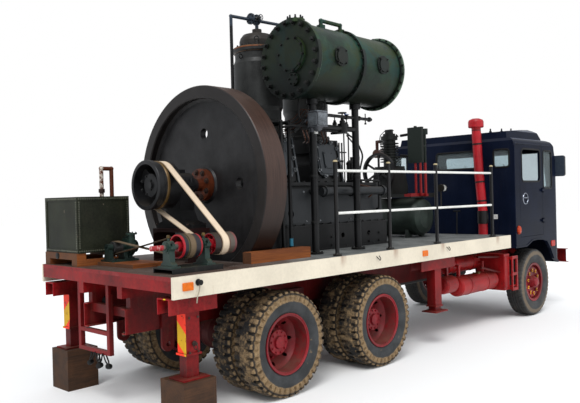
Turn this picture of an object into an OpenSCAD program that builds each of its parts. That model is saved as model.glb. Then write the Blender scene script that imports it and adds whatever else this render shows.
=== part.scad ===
// Six-wheeled flatbed lorry that carries a vertical two-cylinder stationary engine.
// Millimetres. +X forward, +Y to the left, +Z up; z = 0 is the ground under the tyres.
// Places along the lorry are measured from the rear edge of the deck, and put_down() centres them.

/* [Overall] */
// Length from the rear edge of the deck to the face of the bumper
body_len = 8870; // [8800:10:9100]
// Width over the deck and its side rails
deck_w = 2500; // [2440:10:2550]
// Height of the deck floor
deck_z = 1420; // [1400:5:1450]

/* [Deck] */
// Gap between the front of the deck and the cab
cab_gap = 270; // [255:5:400]
// Height of the cream side rails
side_h = 200; // [170:5:220]
// Thickness of the side rails
side_t = 30; // [20:1:40]
// Thickness of the deck floor
floor_t = 40; // [20:1:50]
// Thickness of the rear beam and of the cross bearers
bearer_w = 60; // [40:5:70]
// Number of cross bearers in front of the flywheel well
bearer_n = 8; // [5:1:11]
// Clearance round the flywheel in its well
well_gap = 60; // [40:5:90]

/* [Chassis] */
// From the edge of the deck in to the outside of a chassis rail
rail_inset = 850; // [830:5:870]
// Height of the underside of the chassis rails
rail_z = 800; // [790:5:810]
// Depth of a chassis rail
rail_h = 250; // [230:5:260]
// Width of a chassis rail's flanges
rail_w = 75; // [60:5:85]
// Thickness of the chassis plate
rail_t = 10; // [8:1:14]
// Height of the bumper
bumper_h = 240; // [180:10:260]
// Radius of the tow eyes' holes
eye_hole_r = 25; // [20:1:30]

/* [Wheels] */
// Tyre radius at the lugs' tips
tyre_r = 562; // [555:1:568]
// Width of a tyre
tyre_w = 300; // [285:5:310]
// Radius of the rim flange
rim_r = 325; // [315:1:330]
// Height of the lugs on the rear tyres
lug_h = 16; // [10:1:20]
// Lugs round each shoulder of a rear tyre
lug_n = 24; // [18:1:28]
// Rear axle's distance from the rear edge of the deck
axle_rear = 1505; // [1480:5:1560]
// Spacing of the two rear axles
bogie_gap = 1670; // [1600:10:1750]
// Front axle's distance behind the face of the bumper
axle_back = 1300; // [1270:10:1320]
// From the edge of the deck in to the middle of an outer rear tyre
twin_inset = 185; // [180:1:200]
// Distance between the middles of two twin tyres
twin_gap = 340; // [330:1:345]
// From the edge of the deck in to the middle of a front tyre
front_inset = 230; // [220:5:240]
// From a kingpin out to the middle of its tyre
king_gap = 170; // [165:1:175]

/* [Legs] */
// From the edge of the deck in to the middle of a stabiliser leg
leg_inset = 165; // [160:1:175]
// Rear legs' distance from the rear edge of the deck
leg_rear_x = 280; // [260:5:300]
// Front legs' distance from the rear edge of the deck
leg_front_x = 4515; // [4450:5:4550]
// Length of a leg's section along the lorry
leg_w = 160; // [140:2:170]
// Width of a leg's section across the lorry
leg_d = 130; // [120:2:140]
// Height of the timber blocks under the rear feet
block_h = 450; // [430:5:470]

/* [Cab] */
// Length of the cab
cab_len = 1780; // [1750:10:1800]
// From the face of the bumper back to the front of the cab
cab_back = 310; // [290:10:330]
// From the edge of the deck in to the side of the cab
cab_inset = 50; // [40:2:60]
// Height of the roof
roof_z = 2990; // [2960:5:3020]
// Height of the raised panel on the roof
hump_h = 190; // [150:5:210]
// Thickness of the cab's walls
wall = 40; // [36:1:46]
// Width of the doors
door_w = 850; // [830:5:860]
// From the cab's rear wall to the door
door_in = 205; // [195:5:215]

/* [Engine] */
// Middle of the engine, to the left of the lorry's middle
eng_y = 60; // [50:5:70]
// Height of the crankshaft
crank_z = 2277; // [2270:1:2300]
// Radius of the flywheel
fly_r = 1150; // [1130:5:1160]
// Rear face of the flywheel's rim
fly_x = 1340; // [1330:5:1350]
// Width of the flywheel's rim
fly_w = 313; // [290:1:330]
// Radial depth of the flywheel's rim
fly_rim = 145; // [120:5:160]
// Thickness of the flywheel's web
web_t = 80; // [60:5:90]
// Radius of the crankshaft
shaft_r = 75; // [65:1:80]
// First cylinder's distance from the rear edge of the deck
cyl_x = 2350; // [2340:5:2370]
// Distance between the two cylinders
cyl_gap = 870; // [850:5:890]
// Radius of the cylinders' flanges
cyl_r = 310; // [290:5:312]
// Height of the cylinders' top flange
cyl_top = 3990; // [3960:5:4000]
// Half the width of the engine's bed
bed_half = 500; // [480:5:505]
// Radius of the receiver drum's shell
drum_r = 430; // [410:5:435]
// Length of the receiver drum
drum_len = 1690; // [1650:10:1720]
// Drum's middle, to the right of the lorry's middle
drum_y = 760; // [755:5:770]
// Height of the drum's middle
drum_z = 3700; // [3690:5:3710]

/* [Belts] */
// Radius of the pulley on the crankshaft
crank_pulley_r = 260; // [240:5:265]
// Middle of the main belt along the lorry
belt_x = 815; // [812:1:818]
// Width of the main belt
belt_w = 90; // [70:5:92]
// From the edge of the deck in to the countershaft
counter_inset = 330; // [320:5:345]
// Height of the countershaft above the deck
counter_h = 245; // [235:5:260]
// Radius of the countershaft's pulleys
counter_r = 110; // [100:1:115]
// Radius of the countershaft
counter_shaft_r = 25; // [20:1:30]
// Radius of the pump's pulley
pump_r = 65; // [55:1:70]

/* [Tank] */
// Length of the cooling tank
tank_len = 630; // [600:5:650]
// Width of the cooling tank
tank_w = 715; // [690:5:730]
// Depth of the cooling tank
tank_h = 610; // [580:5:640]
// Height of the tank's floor above the deck
tank_lift = 140; // [120:5:150]
// Thickness of the tank's plate
plate_t = 8; // [6:1:10]

/* [Guard rail] */
// Height of the posts above the deck
post_h = 1100; // [1050:10:1150]
// Radius of the posts
post_r = 24; // [20:1:28]
// Radius of the white tubes
tube_r = 16; // [12:1:18]

/* [Hidden] */
$fn = 48;

touch = 0.3;         // gap between curved pieces that rest on each other
run_gap = 0.08;      // radial gap of a shaft that turns in its bearing
half_w = deck_w/2;
cab_front_x = body_len - cab_back;
cab_x = cab_front_x - cab_len;
deck_len = cab_x - cab_gap;
axle_mid = axle_rear + bogie_gap;
axle_front = body_len - axle_back;
rail_y = half_w - rail_inset;
rail_top = rail_z + rail_h;
side_z = deck_z - side_h;
deck_y = half_w - side_t;
chord = sqrt(fly_r*fly_r - pow(crank_z - deck_z, 2)) + well_gap;
well_x0 = fly_x - well_gap;
well_x1 = fly_x + fly_w + well_gap;

// Shapes shared by the sub-parts
module put_down() translate([-body_len/2, 0, 0]) children();
module box(x0, x1, y0, y1, z0, z1) translate([x0, y0, z0]) cube([x1 - x0, y1 - y0, z1 - z0]);
module rod_x(x0, x1, y, z, r) translate([x0, y, z]) rotate([0, 90, 0]) cylinder(r = r, h = x1 - x0);
module rod_y(y0, y1, x, z, r) translate([x, y1, z]) rotate([90, 0, 0]) cylinder(r = r, h = y1 - y0);
module rod_z(z0, z1, x, y, r) translate([x, y, z0]) cylinder(r = r, h = z1 - z0);
module along_x(x0, x1) translate([x0, 0, 0]) rotate([90, 0, 90]) linear_extrude(x1 - x0) children();
module along_y(y0, y1) translate([0, y1, 0]) rotate([90, 0, 0]) linear_extrude(y1 - y0) children();
module both_sides() {
  children();
  mirror([0, 1, 0]) children();
}
module channel(w, h, t) polygon([[0, 0], [w, 0], [w, t], [t, t], [t, h - t], [w, h - t], [w, h], [0, h]]);
module i_beam(w, h, t) polygon([[-w/2, -h/2], [w/2, -h/2], [w/2, t - h/2], [t/2, t - h/2], [t/2, h/2 - t],
  [w/2, h/2 - t], [w/2, h/2], [-w/2, h/2], [-w/2, h/2 - t], [-t/2, h/2 - t], [-t/2, t - h/2], [-w/2,
      t - h/2]]);
module round_rect(x0, x1, z0, z1, r) {
  translate([x0 + r, z0]) square([x1 - x0 - 2*r, z1 - z0]);
  translate([x0, z0 + r]) square([x1 - x0, z1 - z0 - 2*r]);
  for (x = [x0 + r, x1 - r], z = [z0 + r, z1 - r]) translate([x, z]) circle(r = r);
}
// A shape turned about an axis along X at (y, z); its profile is [radius, place along X]
module turned_x(y, z) translate([0, y, z]) rotate([0, 90, 0]) rotate_extrude() children();

// Chassis: channel rails, cross members, tow eyes and the bumper
rail_x0 = 40;
cross_w = 70;
cross_h = 90;
cross_xs = [120, 960, 2080, 2620, 4000, 5300, cab_x - 280, body_len - 520];
bumper_t = 90;
horn_len = 190;
rail_x1 = body_len - bumper_t - horn_len;
eye_x = 520;
eye_z = rail_z - 165;
eye_r = 75;
eye_t = 30;
module tow_eye() along_y(-rail_y - eye_t, -rail_y) difference() {
  union() {
    translate([eye_x, eye_z]) circle(r = eye_r);
    translate([eye_x - eye_r, eye_z]) square([2*eye_r, rail_z + 150 - eye_z]);
  }
  translate([eye_x, eye_z]) circle(r = eye_hole_r);
}
module chassis() color("firebrick") put_down() {
  both_sides() {
    along_x(rail_x0, rail_x1) translate([-rail_y, rail_z]) channel(rail_w, rail_h, rail_t);
    box(rail_x1, body_len - 4, -rail_y, -rail_y + rail_w, rail_z + 40, rail_z + 160);
    tow_eye();
  }
  for (x = cross_xs) along_y(-rail_y + rail_t, rail_y - rail_t)
    translate([x, rail_top - rail_t - cross_h]) channel(cross_w, cross_h, 8);
  intersection() {
    along_y(-half_w, half_w) translate([body_len, rail_z]) mirror([1, 0]) channel(bumper_t, bumper_h, 8);
    linear_extrude(3000) polygon([[0, -half_w + 20], [body_len - 50, -half_w + 20], [body_len,
        -half_w + 90],
      [body_len, half_w - 90], [body_len - 50, half_w - 20], [0, half_w - 20]]);
  }
}

// Deck: subframe runners, cross bearers, rear and front beams
rear_beam_h = 105;
bearer_step = (deck_len - 40 - bearer_w - well_x1)/bearer_n;
bearer_xs = concat([440, 860, well_x0 - bearer_w], [for (i = [0:bearer_n - 1]) well_x1 + i*bearer_step]);
module well() box(well_x0, well_x1, eng_y - chord, eng_y + chord, rail_z, deck_z + 10);
module deck_frame() color("firebrick") put_down() difference() {
  union() {
    both_sides() box(100, deck_len - 30, -rail_y, -rail_y + rail_w, rail_top, side_z);
    for (x = bearer_xs) along_y(-deck_y, deck_y) translate([x, side_z]) channel(bearer_w,
        side_h - floor_t, 10);
    along_y(-deck_y, deck_y) translate([0, deck_z - floor_t - rear_beam_h]) channel(bearer_w,
        rear_beam_h, 10);
    box(deck_len - 40, deck_len, -deck_y, deck_y, side_z, deck_z - floor_t);
    both_sides() box(0, deck_len, -rail_y - 10, -rail_y + rail_w, side_z, side_z + 90);
    both_sides() box(0, 440, -rail_y - 10, -rail_y + rail_w, side_z - 60, side_z + 90);
  }
  well();
}
module deck_floor() color("dimgray") put_down() difference() {
  box(0, deck_len, -deck_y, deck_y, deck_z - floor_t, deck_z);
  well();
}
module side_rails() color("wheat") put_down() both_sides() {
  box(0, deck_len, -half_w, -deck_y, side_z, deck_z);
}

// Rear ladder: the frame that hangs behind the chassis
ladder_x = bearer_w;
ladder_w = 620;
ladder_out = 160;    // from the outside of the left-hand rail to the ladder's left-hand side
ladder_y1 = rail_y + ladder_out;
ladder_y0 = ladder_y1 - ladder_w;
ladder_z = 540;
ladder_t = 50;
ladder_bar = 40;
module rear_ladder() color("firebrick") put_down() {
  for (y = [ladder_y0, ladder_y1 - ladder_t])
    box(ladder_x, ladder_x + ladder_t, y, y + ladder_t, ladder_z, side_z - 60);
  for (z = [ladder_z, rail_z - 60])
    box(ladder_x, ladder_x + ladder_t, ladder_y0, ladder_y1, z, z + ladder_bar);
  for (y = [ladder_y0, ladder_y1 - ladder_t])
    box(ladder_x, ladder_x + ladder_t - 20, y, y + ladder_t, side_z - 60, deck_z - floor_t);
}

// Stabiliser legs: channels and square tubes under the deck, and the sliding legs in them
leg_y = half_w - leg_inset;
leg_wall = 10;
leg_play = 0.5;      // gap between a leg and the inside of its housing
bracket_d = 180;
bracket_h = 150;
leg_rear_base = block_h + 220;
leg_front_base = 550;
foot_t = 15;
foot_len = 300;
foot_w = 230;
front_foot_z = 480;
module leg_bracket(x0, x1) along_x(x0, x1) translate([-leg_y, side_z - bracket_h]) difference() {
  translate([-bracket_d/2, 0]) square([bracket_d, bracket_h]);
  translate([-bracket_d/2 + leg_wall, -1]) square([bracket_d - 2*leg_wall, bracket_h - leg_wall + 1]);
}
module housing(x, x0, x1, base) difference() {
  union() {
    leg_bracket(x0, x1);
    translate([x, -leg_y, base]) translate([-leg_w/2, -leg_d/2, 0]) cube([leg_w, leg_d,
        side_z - leg_wall - base]);
    translate([x, -leg_y, base]) translate([-leg_w/2 - 12, -leg_d/2 - 12, 0]) cube([leg_w + 24,
        leg_d + 24, 20]);
  }
  translate([x - leg_w/2 + leg_wall, -leg_y - leg_d/2 + leg_wall, base - 1])
    cube([leg_w - 2*leg_wall, leg_d - 2*leg_wall, side_z - 2*leg_wall - base + 1]);
}
module leg_housings() color("firebrick") put_down() both_sides() {
  housing(leg_rear_x, 0, 560, leg_rear_base);
  housing(leg_front_x, leg_front_x - 445, leg_front_x + 405, leg_front_base);
}
module leg(x, foot_z, top) translate([x, -leg_y, foot_z]) {
  w = leg_w - 2*leg_wall - 2*leg_play;
  d = leg_d - 2*leg_wall - 2*leg_play;
  translate([-w/2, -d/2, foot_t]) cube([w, d, top - foot_z - foot_t]);
  translate([-foot_len/2, -foot_w/2, 0]) cube([foot_len, foot_w, foot_t]);
}
module leg_rear() leg(leg_rear_x, block_h, block_h + 360);
module leg_front() leg(leg_front_x, front_foot_z, front_foot_z + 560);
module leg_rear_right() color("firebrick") put_down() leg_rear();
module leg_rear_left() color("firebrick") put_down() mirror([0, 1, 0]) leg_rear();
module leg_front_right() color("firebrick") put_down() leg_front();
module leg_front_left() color("firebrick") put_down() mirror([0, 1, 0]) leg_front();

// Timbers: blocks under the rear feet, the baulk beside the well, tank and pump bearers
tank_x0 = 50;
tank_x1 = tank_x0 + tank_len;
tank_y1 = half_w - 35;
tank_y0 = tank_y1 - tank_w;
tank_z = deck_z + tank_lift;
pump_y = tank_y0 - 170;
block_l = 375;
block_w = 360;
baulk_h = 120;
baulk_w = 130;
baulk_y = eng_y - sqrt(fly_r*fly_r - pow(crank_z - deck_z - baulk_h, 2)) - 20;
board_t = 40;
module timbers() color("saddlebrown") put_down() {
  both_sides() box(leg_rear_x - block_l/2, leg_rear_x + block_l/2, -leg_y - 160,
      -leg_y - 160 + block_w, 0, block_h - touch);
  box(fly_x - 140, fly_x + 780, baulk_y - baulk_w, baulk_y, deck_z, deck_z + baulk_h);
  for (y = [tank_y0, tank_y1 - 110]) box(tank_x0 - 20, tank_x1 + 20, y, y + 110, deck_z,
      deck_z + tank_lift/2);
  for (x = [tank_x0 - 20, tank_x1 - 90]) box(x, x + 110, tank_y0, tank_y1, deck_z + tank_lift/2, tank_z);
  box(250, 640, pump_y - 560, pump_y + 130, deck_z, deck_z + board_t);
}

// Rear bogie: two live axles, and springs that turn on a trunnion between them
axle_r = 70;
stub_r = 55;
hub_in = 270;        // inner end of a rear hub, from the twin wheels' mating face
twin_out_y = half_w - twin_inset;
twin_face_y = twin_out_y - twin_gap/2;
diff_r = 205;
module bogie_axle(x) {
  rod_y(-twin_face_y + hub_in + 10, twin_face_y - hub_in - 10, x, tyre_r, axle_r);
  rod_y(-twin_face_y - hub_len, twin_face_y + hub_len, x, tyre_r, stub_r);
  translate([x, 0, tyre_r]) rotate([90, 0, 0]) rotate_extrude()
    polygon([[0, -170], [90, -170], [190, -80], [diff_r, 0], [190, 80], [90, 170], [0, 170]]);
}
module bogie_axles() color("maroon") put_down() {
  bogie_axle(axle_rear);
  bogie_axle(axle_mid);
}
spring_w = 80;
spring_y = rail_y + 55;
leaf_t = 15;
front_leaf_n = 5;
front_sag = 60;
bogie_leaf_n = 6;
module spring_slab() along_y(-spring_y - spring_w/2, -spring_y + spring_w/2) children();
// Stepped pack of leaves; the longest is on top, its ends at height 0 and its middle sunk by sag
module leaves(len, n, sag) {
  function arc(s) = -sag*(1 - 4*s*s/(len*len));
  steps = 12;
  top = [for (i = [0:steps]) let (s = -len/2 + len*i/steps) [s, arc(s)]];
  low = [for (k = [0:n - 1]) let (a = len/2*(1 - 0.8*k/n), b = len/2*(1 - 0.8*(k + 1)/n))
    each [[a, arc(a) - (k + 1)*leaf_t], [k == n - 1 ? 0 : b, arc(k == n - 1 ? 0 : b) - (k + 1)*leaf_t]]];
  polygon(concat(top, low, [for (i = [len(low) - 1:-1:0]) [-low[i][0], low[i][1]]]));
}
module bogie_springs() color("maroon") put_down() {
  x = (axle_rear + axle_mid)/2;
  z = tyre_r + axle_r + touch;
  both_sides() {
    translate([x, 0, z]) spring_slab() mirror([0, 1]) leaves(bogie_gap - 60, bogie_leaf_n, 60);
    for (s = [-1, 1]) translate([x + s*bogie_gap/2, 0, 0])
      box(-80, 80, -spring_y - spring_w/2, -spring_y + spring_w/2, z, z + leaf_t);
    along_y(-spring_y - spring_w/2 - 10, -rail_y) polygon([[x - 150, rail_z + 200], [x - 150,
        rail_z + 60],
      [x - 80, z + 70], [x + 80, z + 70], [x + 150, rail_z + 60], [x + 150, rail_z + 200]]);
  }
  rod_y(-spring_y - spring_w/2 - 25, spring_y + spring_w/2 + 25, x, rail_z - 60, 38);
}

// Front axle: I-section beam, its two leaf springs with their hangers, and the kingpin eyes
front_y = half_w - front_inset;
king_y = front_y - king_gap;
king_r = 20;
boss_r = 45;
boss_h = 110;
lug_gap = 5;         // gap above and below the axle's eye
beam_h = 100;
beam_z = tyre_r - 70;
hanger_x = 615;
module front_axle() color("maroon") put_down() difference() {
  union() {
    along_y(-king_y + boss_r + 25, king_y - boss_r - 25) translate([axle_front, beam_z]) i_beam(90,
        beam_h, 16);
    both_sides() {
      rod_z(tyre_r - boss_h/2, tyre_r + boss_h/2, axle_front, -king_y, boss_r);
      box(axle_front - 40, axle_front + 40, -king_y, -king_y + 90, tyre_r - boss_h/2, beam_z + beam_h/2);
      translate([axle_front, 0, beam_z + beam_h/2 + front_leaf_n*leaf_t + front_sag])
        spring_slab() leaves(1300, front_leaf_n, front_sag);
      for (s = [-1, 1]) translate([axle_front + s*hanger_x, 0, 0]) along_y(-spring_y - spring_w/2,
          -rail_y)
        polygon([[-55, rail_z + 170], [-30, beam_z + 120], [30, beam_z + 120], [55, rail_z + 170]]);
    }
  }
  both_sides() rod_z(0, 1000, axle_front, -king_y, king_r + run_gap);
}
stub_front_r = 35;
arm_len = 190;
module knuckle() {
  top = boss_h/2 + lug_gap;
  rod_z(tyre_r - top - 30, tyre_r + top + 30, axle_front, -king_y, king_r);
  for (s = [-1, 1]) translate([0, 0, tyre_r + s*(top + 15)]) {
    rod_z(-15, 15, axle_front, -king_y, boss_r);
    box(axle_front - 30, axle_front + 30, -king_y - 60, -king_y, -15, 15);
  }
  box(axle_front - 40, axle_front + 40, -king_y - 75, -king_y - 52, tyre_r - top - 30, tyre_r + top + 30);
  rod_y(-front_y - 60, -king_y - 60, axle_front, tyre_r, stub_front_r);
  // Steering arm with its ball eye
  box(axle_front - arm_len, axle_front, -king_y - 20, -king_y + 20, tyre_r - top - 45, tyre_r - top - 25);
  rod_z(tyre_r - top - 45, tyre_r - top - 25, axle_front - arm_len, -king_y, 28);
}
module knuckle_right() color("maroon") put_down() knuckle();
module knuckle_left() color("maroon") put_down() mirror([0, 1, 0]) knuckle();

// Tyres. Each profile is [radius, distance outwards from the tyre's middle].
rim_half = tyre_w*0.36;
tread_r = tyre_r - lug_h;
module tyre_side(s, top) polygon([[rim_r - 18, s*rim_half], [rim_r + 3, s*rim_half], [rim_r + 45,
    s*tyre_w*0.46],
  [(rim_r + tyre_r)/2, s*tyre_w/2], [tyre_r - 75, s*tyre_w*0.48], [top - 14, s*tyre_w*0.42],
  [top, s*tyre_w*0.3], [top, 0], [rim_r - 18, 0]]);
module tyre_rear() {
  rotate_extrude() {
    tyre_side(1, tread_r);
    tyre_side(-1, tread_r);
  }
  lug_l = PI*tyre_r/lug_n;
  for (i = [0:lug_n - 1], s = [-1, 1]) rotate([0, 0, 360/lug_n*(i + (s + 1)/4)])
    translate([tread_r - 20, -lug_l/2, s < 0 ? -tyre_w*0.43 : tyre_w*0.05])
      cube([sqrt(tyre_r*tyre_r - lug_l*lug_l/4) - tread_r + 20, lug_l, tyre_w*0.38]);
}
module tyre_front() rotate_extrude() difference() {
  union() {
    tyre_side(1, tyre_r);
    tyre_side(-1, tyre_r);
  }
  for (y = [-1.5:1:1.5]) translate([tyre_r - 12, y*tyre_w*0.145 - 4]) square([20, 8]);
}
module at_right(x, y) translate([x, -y, tyre_r]) rotate([90, 0, 0]) children();
module at_left(x, y) translate([x, y, tyre_r]) rotate([-90, 0, 0]) children();
module tyre_front_right() color("dimgray") put_down() at_right(axle_front, front_y) tyre_front();
module tyre_front_left() color("dimgray") put_down() at_left(axle_front, front_y) tyre_front();
module tyres_right(x) color("dimgray") put_down() for (y = [twin_out_y - twin_gap,
    twin_out_y]) at_right(x, y) tyre_rear();
module tyres_left(x) color("dimgray") put_down() for (y = [twin_out_y - twin_gap,
    twin_out_y]) at_left(x, y) tyre_rear();
module tyres_mid_right() tyres_right(axle_mid);
module tyres_mid_left() tyres_left(axle_mid);
module tyres_rear_right() tyres_right(axle_rear);
module tyres_rear_left() tyres_left(axle_rear);

// Wheels. Each profile is [radius, distance outwards]; the hand holes are cut round the dished disc.
bead_r = rim_r - 18 - touch;
hub_len = 120;       // outer end of a rear hub, from the twin wheels' mating face
module front_wheel() difference() {
  rotate_extrude() polygon([
    [stub_front_r + run_gap, -70], [95, -70], [110, -20], [110, 30], [150, 46], [235, 78],
        [bead_r - 22, 40],
    [bead_r - 22, -rim_half], [rim_r, -rim_half - 12], [rim_r, -rim_half - touch], [bead_r,
        -rim_half - touch],
    [bead_r, rim_half + touch], [rim_r, rim_half + touch], [rim_r, rim_half + 12], [bead_r - 18,
        rim_half + 6],
    [bead_r - 16, 60], [240, 92], [150, 62], [105, 62], [90, 130], [stub_front_r + run_gap, 130]]);
  for (a = [0:45:315]) rotate([0, 0, a + 22]) translate([262, 0, 0]) cylinder(r = 20, h = 200);
}
module wheel_front_right() color("firebrick") put_down() at_right(axle_front, front_y) front_wheel();
module wheel_front_left() color("firebrick") put_down() at_left(axle_front, front_y) front_wheel();
// Twin wheel: two rims whose discs meet on the mating face, drum and hub; distance 0 is the mating face
half_gap = twin_gap/2;
module twin_rim() difference() {
  rotate_extrude() polygon([
    [stub_r + 40, 0.5], [210, 0.5], [bead_r - 22, half_gap - rim_half + 30], [bead_r - 22,
        half_gap - rim_half - 10],
    [rim_r, half_gap - rim_half - 12], [rim_r, half_gap - rim_half - touch], [bead_r,
        half_gap - rim_half - touch],
    [bead_r, half_gap + rim_half + touch], [rim_r, half_gap + rim_half + touch], [rim_r,
        half_gap + rim_half + 12],
    [bead_r - 14, half_gap + rim_half + 8], [bead_r - 12, half_gap - rim_half + 50], [210, 14],
        [stub_r + 40, 14]]);
  for (a = [0:45:315]) rotate([0, 0, a]) translate([245, 0, -5]) cylinder(r = 20, h = 120);
}
module twin_wheels() {
  twin_rim();
  mirror([0, 0, 1]) twin_rim();
  rotate_extrude() polygon([[stub_r + run_gap, -hub_in], [205, -hub_in], [205, -60], [stub_r + 60, -60],
    [stub_r + 60, 90], [95, hub_len], [stub_r + run_gap, hub_len]]);
}
module wheels_right(x) color("firebrick") put_down() at_right(x, twin_face_y) twin_wheels();
module wheels_left(x) color("firebrick") put_down() at_left(x, twin_face_y) twin_wheels();
module wheels_mid_right() wheels_right(axle_mid);
module wheels_mid_left() wheels_left(axle_mid);
module wheels_rear_right() wheels_right(axle_rear);
module wheels_rear_left() wheels_left(axle_rear);

// Driveline: the lorry's own engine and gearbox, and the propeller shaft
motor_x0 = cab_x + 220;
motor_x1 = cab_x + 1470;
motor_gap = 25;      // from the block to the flange of each rail
motor_y = rail_y - rail_w - motor_gap;
module driveline() color("dimgray") put_down() {
  along_x(motor_x0, motor_x1) polygon([[-motor_y + 90, 860], [motor_y - 90, 860], [motor_y, 960],
      [motor_y, 1140], [motor_y - 80, 1200], [-motor_y + 80, 1200],
    [-motor_y, 1140], [-motor_y, 960]]);
  for (x = [motor_x0 + 80, motor_x1 - 160]) both_sides() box(x, x + 80, -rail_y + rail_t, -motor_y,
      980, 1020);
  along_x(motor_x0 - 350, motor_x0) polygon([[-110, 640], [110, 640], [170, 720], [170, 930], [-170,
      930], [-170, 720]]);
  rod_x(axle_mid + diff_r + touch, motor_x0 - 350, 0, 720, 45);
}

// Air reservoirs with their straps, and the steel box with its step frame
air_x = deck_len - 1130;
air_y = rail_y + 480;
module tank_x(x0, x1, y, z, r) translate([x0, y, z]) rotate([0, 90, 0]) rotate_extrude() polygon([
  [0, 0], [r*0.6, 8], [r*0.9, 30], [r, 60], [r, x1 - x0 - 60], [r*0.9, x1 - x0 - 30], [r*0.6,
      x1 - x0 - 8], [0, x1 - x0]]);
module strap(x, y, z, r) along_x(x, x + 30) translate([y, z]) difference() {
  circle(r = r + 5);
  circle(r = r - 1);
}
module air_tanks() color("firebrick") put_down() {
  tank_x(air_x, air_x + 1180, -air_y, 700, 150);
  for (x = [air_x + 300, air_x + 820]) strap(x, -air_y, 700, 150);
  tank_x(air_x, air_x + 970, -air_y + 180, 1000, 125);
  for (x = [air_x + 200, air_x + 720]) strap(x, -air_y + 180, 1000, 125);
  tank_x(air_x - 390, air_x - 20, -air_y, 760, 130);
  for (x = [air_x - 220, air_x + 120, air_x + 850]) {
    box(x, x + 40, -air_y - 20, -rail_y, 985, 1015);
    box(x, x + 40, -air_y - 20, -air_y + 20, 760, 1015);
  }
}
box_x0 = cab_x - 180;
box_x1 = cab_x + 5;
module side_box() color("firebrick") put_down() {
  box(box_x0, box_x1, -1080, -600, 520, 1100);
  box(box_x0 + 40, box_x1 - 40, -600, -rail_y, 860, 960);
  box(box_x0 + 20, box_x1 - 20, -1086, -1080, 560, 1060);
  // Step frame in front of the box, with its rungs and the braces back to the box
  difference() {
    box(box_x1, box_x1 + 190, -half_w + 115, -half_w + 140, 500, 1060);
    box(box_x1 + 30, box_x1 + 150, -half_w + 100, -half_w + 150, 545, 745);
    box(box_x1 + 30, box_x1 + 150, -half_w + 100, -half_w + 150, 790, 1015);
  }
  for (z = [520, 1020]) box(box_x1, box_x1 + 25, -half_w + 140, -1000, z, z + 25);
  for (z = [560, 1000]) box(box_x1, box_x1 + 190, -half_w + 140, -half_w + 165, z, z + 25);
}

// Cab: a shell between an outer and an inner skin, cut by its windows, doors and wheel arches
cab_y = half_w - cab_inset;
door_x = cab_x + door_in;
cab_r = 200;
floor_z = deck_z - 75;
skirt_z = deck_z - 230;
sill_z = skirt_z - 360;
arch = [[400, skirt_z], [620, skirt_z + 80], [790, skirt_z + 88], [1000, skirt_z + 80], [1190,
    skirt_z + 45],
  [1340, skirt_z - 100], [1470, skirt_z - 280], [1630, sill_z]];
module cab_profile(i) polygon(concat([[cab_x + i, skirt_z + i]],
  [for (p = arch) [cab_x + p[0], p[1] + i]],
  [[cab_front_x - 80 - i, sill_z + i], [cab_front_x - 15 - i, floor_z + 5], [cab_front_x - i,
      floor_z + 585],
  [cab_front_x - 230 - i, roof_z - 110], [cab_front_x - 300 - i, roof_z - 30 - i], [cab_front_x - 440,
      roof_z - i],
  [cab_x + 60, roof_z - i], [cab_x + i, roof_z - 50 - i]]));
module cab_plan(i) {
  translate([cab_x + i, -cab_y + i]) square([cab_front_x - cab_r - cab_x - i, 2*cab_y - 2*i]);
  translate([cab_x + i, -cab_y + cab_r]) square([cab_front_x - cab_x - 2*i, 2*cab_y - 2*cab_r]);
  for (s = [-1, 1]) translate([cab_front_x - cab_r, s*(cab_y - cab_r)]) circle(r = cab_r - i);
}
module cab_front(i) {
  r = 110;
  translate([-cab_y + i, 800]) square([2*cab_y - 2*i, roof_z - r - 800]);
  translate([-cab_y + r, 800]) square([2*cab_y - 2*r, roof_z - 800 - i]);
  for (s = [-1, 1]) translate([s*(cab_y - r), roof_z - r]) circle(r = r - i);
}
module cab_solid(i) intersection() {
  along_y(-cab_y, cab_y) cab_profile(i);
  translate([0, 0, 800]) linear_extrude(roof_z - 790) cab_plan(i);
  along_x(cab_x - 10, cab_front_x + 40) cab_front(i);
}
// Raised panel on the roof, hollow like the cab under it
hump_y = cab_y - 150;
module hump(i) intersection() {
  along_y(-hump_y, hump_y) polygon([[cab_x + 80 + i, roof_z - wall], [cab_x + 110 + i,
      roof_z + hump_h*0.6 - i],
    [cab_x + 700, roof_z + hump_h*0.87 - i], [cab_x + 1120, roof_z + hump_h - i],
    [cab_x + 1270 - i/2, roof_z + hump_h*0.85 - i], [cab_x + 1390 - i, roof_z + 40 - i/2],
    [cab_x + 1430 - i, roof_z - wall]]);
  along_x(cab_x, cab_front_x) polygon([[-hump_y + i, roof_z - wall], [-hump_y + 30 + i,
      roof_z + hump_h*0.7 - i],
    [-hump_y + 120 + i, roof_z + hump_h], [hump_y - 120 - i, roof_z + hump_h],
    [hump_y - 30 - i, roof_z + hump_h*0.7 - i], [hump_y - i, roof_z - wall]]);
}
door_z0 = floor_z + 15;
door_z1 = roof_z - 110;
light_top = roof_z - 190;
module door_cut(grow) both_sides() box(door_x - grow, door_x + door_w + grow, -cab_y - 50,
    -cab_y + wall + 20,
  door_z0 - grow, door_z1 + grow);
module window_cuts() {
  // Windscreen, side lights, and the rear lights with their rounded corners
  along_x(cab_front_x - 420, cab_front_x + 100) round_rect(-cab_y + 200, cab_y - 200, floor_z + 805,
      light_top, 80);
  both_sides() along_y(-cab_y - 50, -cab_y + 150)
    round_rect(door_x + door_w + 50, cab_front_x - 330, floor_z + 805, light_top, 60);
  along_x(cab_x - 50, cab_x + wall + 50) round_rect(-640, 230, light_top - 290, light_top, 50);
  both_sides() along_x(cab_x - 50, cab_x + wall + 50) round_rect(-1120, -850, light_top - 290,
      light_top, 60);
}
hinge_r = 8;
hinge_out = 14;      // door hinges stand just outside the cab's side
hinge_x = door_x + door_w + 2.5;
hinge_y = cab_y + hinge_out;
hinge_zs = [floor_z + 255, floor_z + 775];
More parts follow.
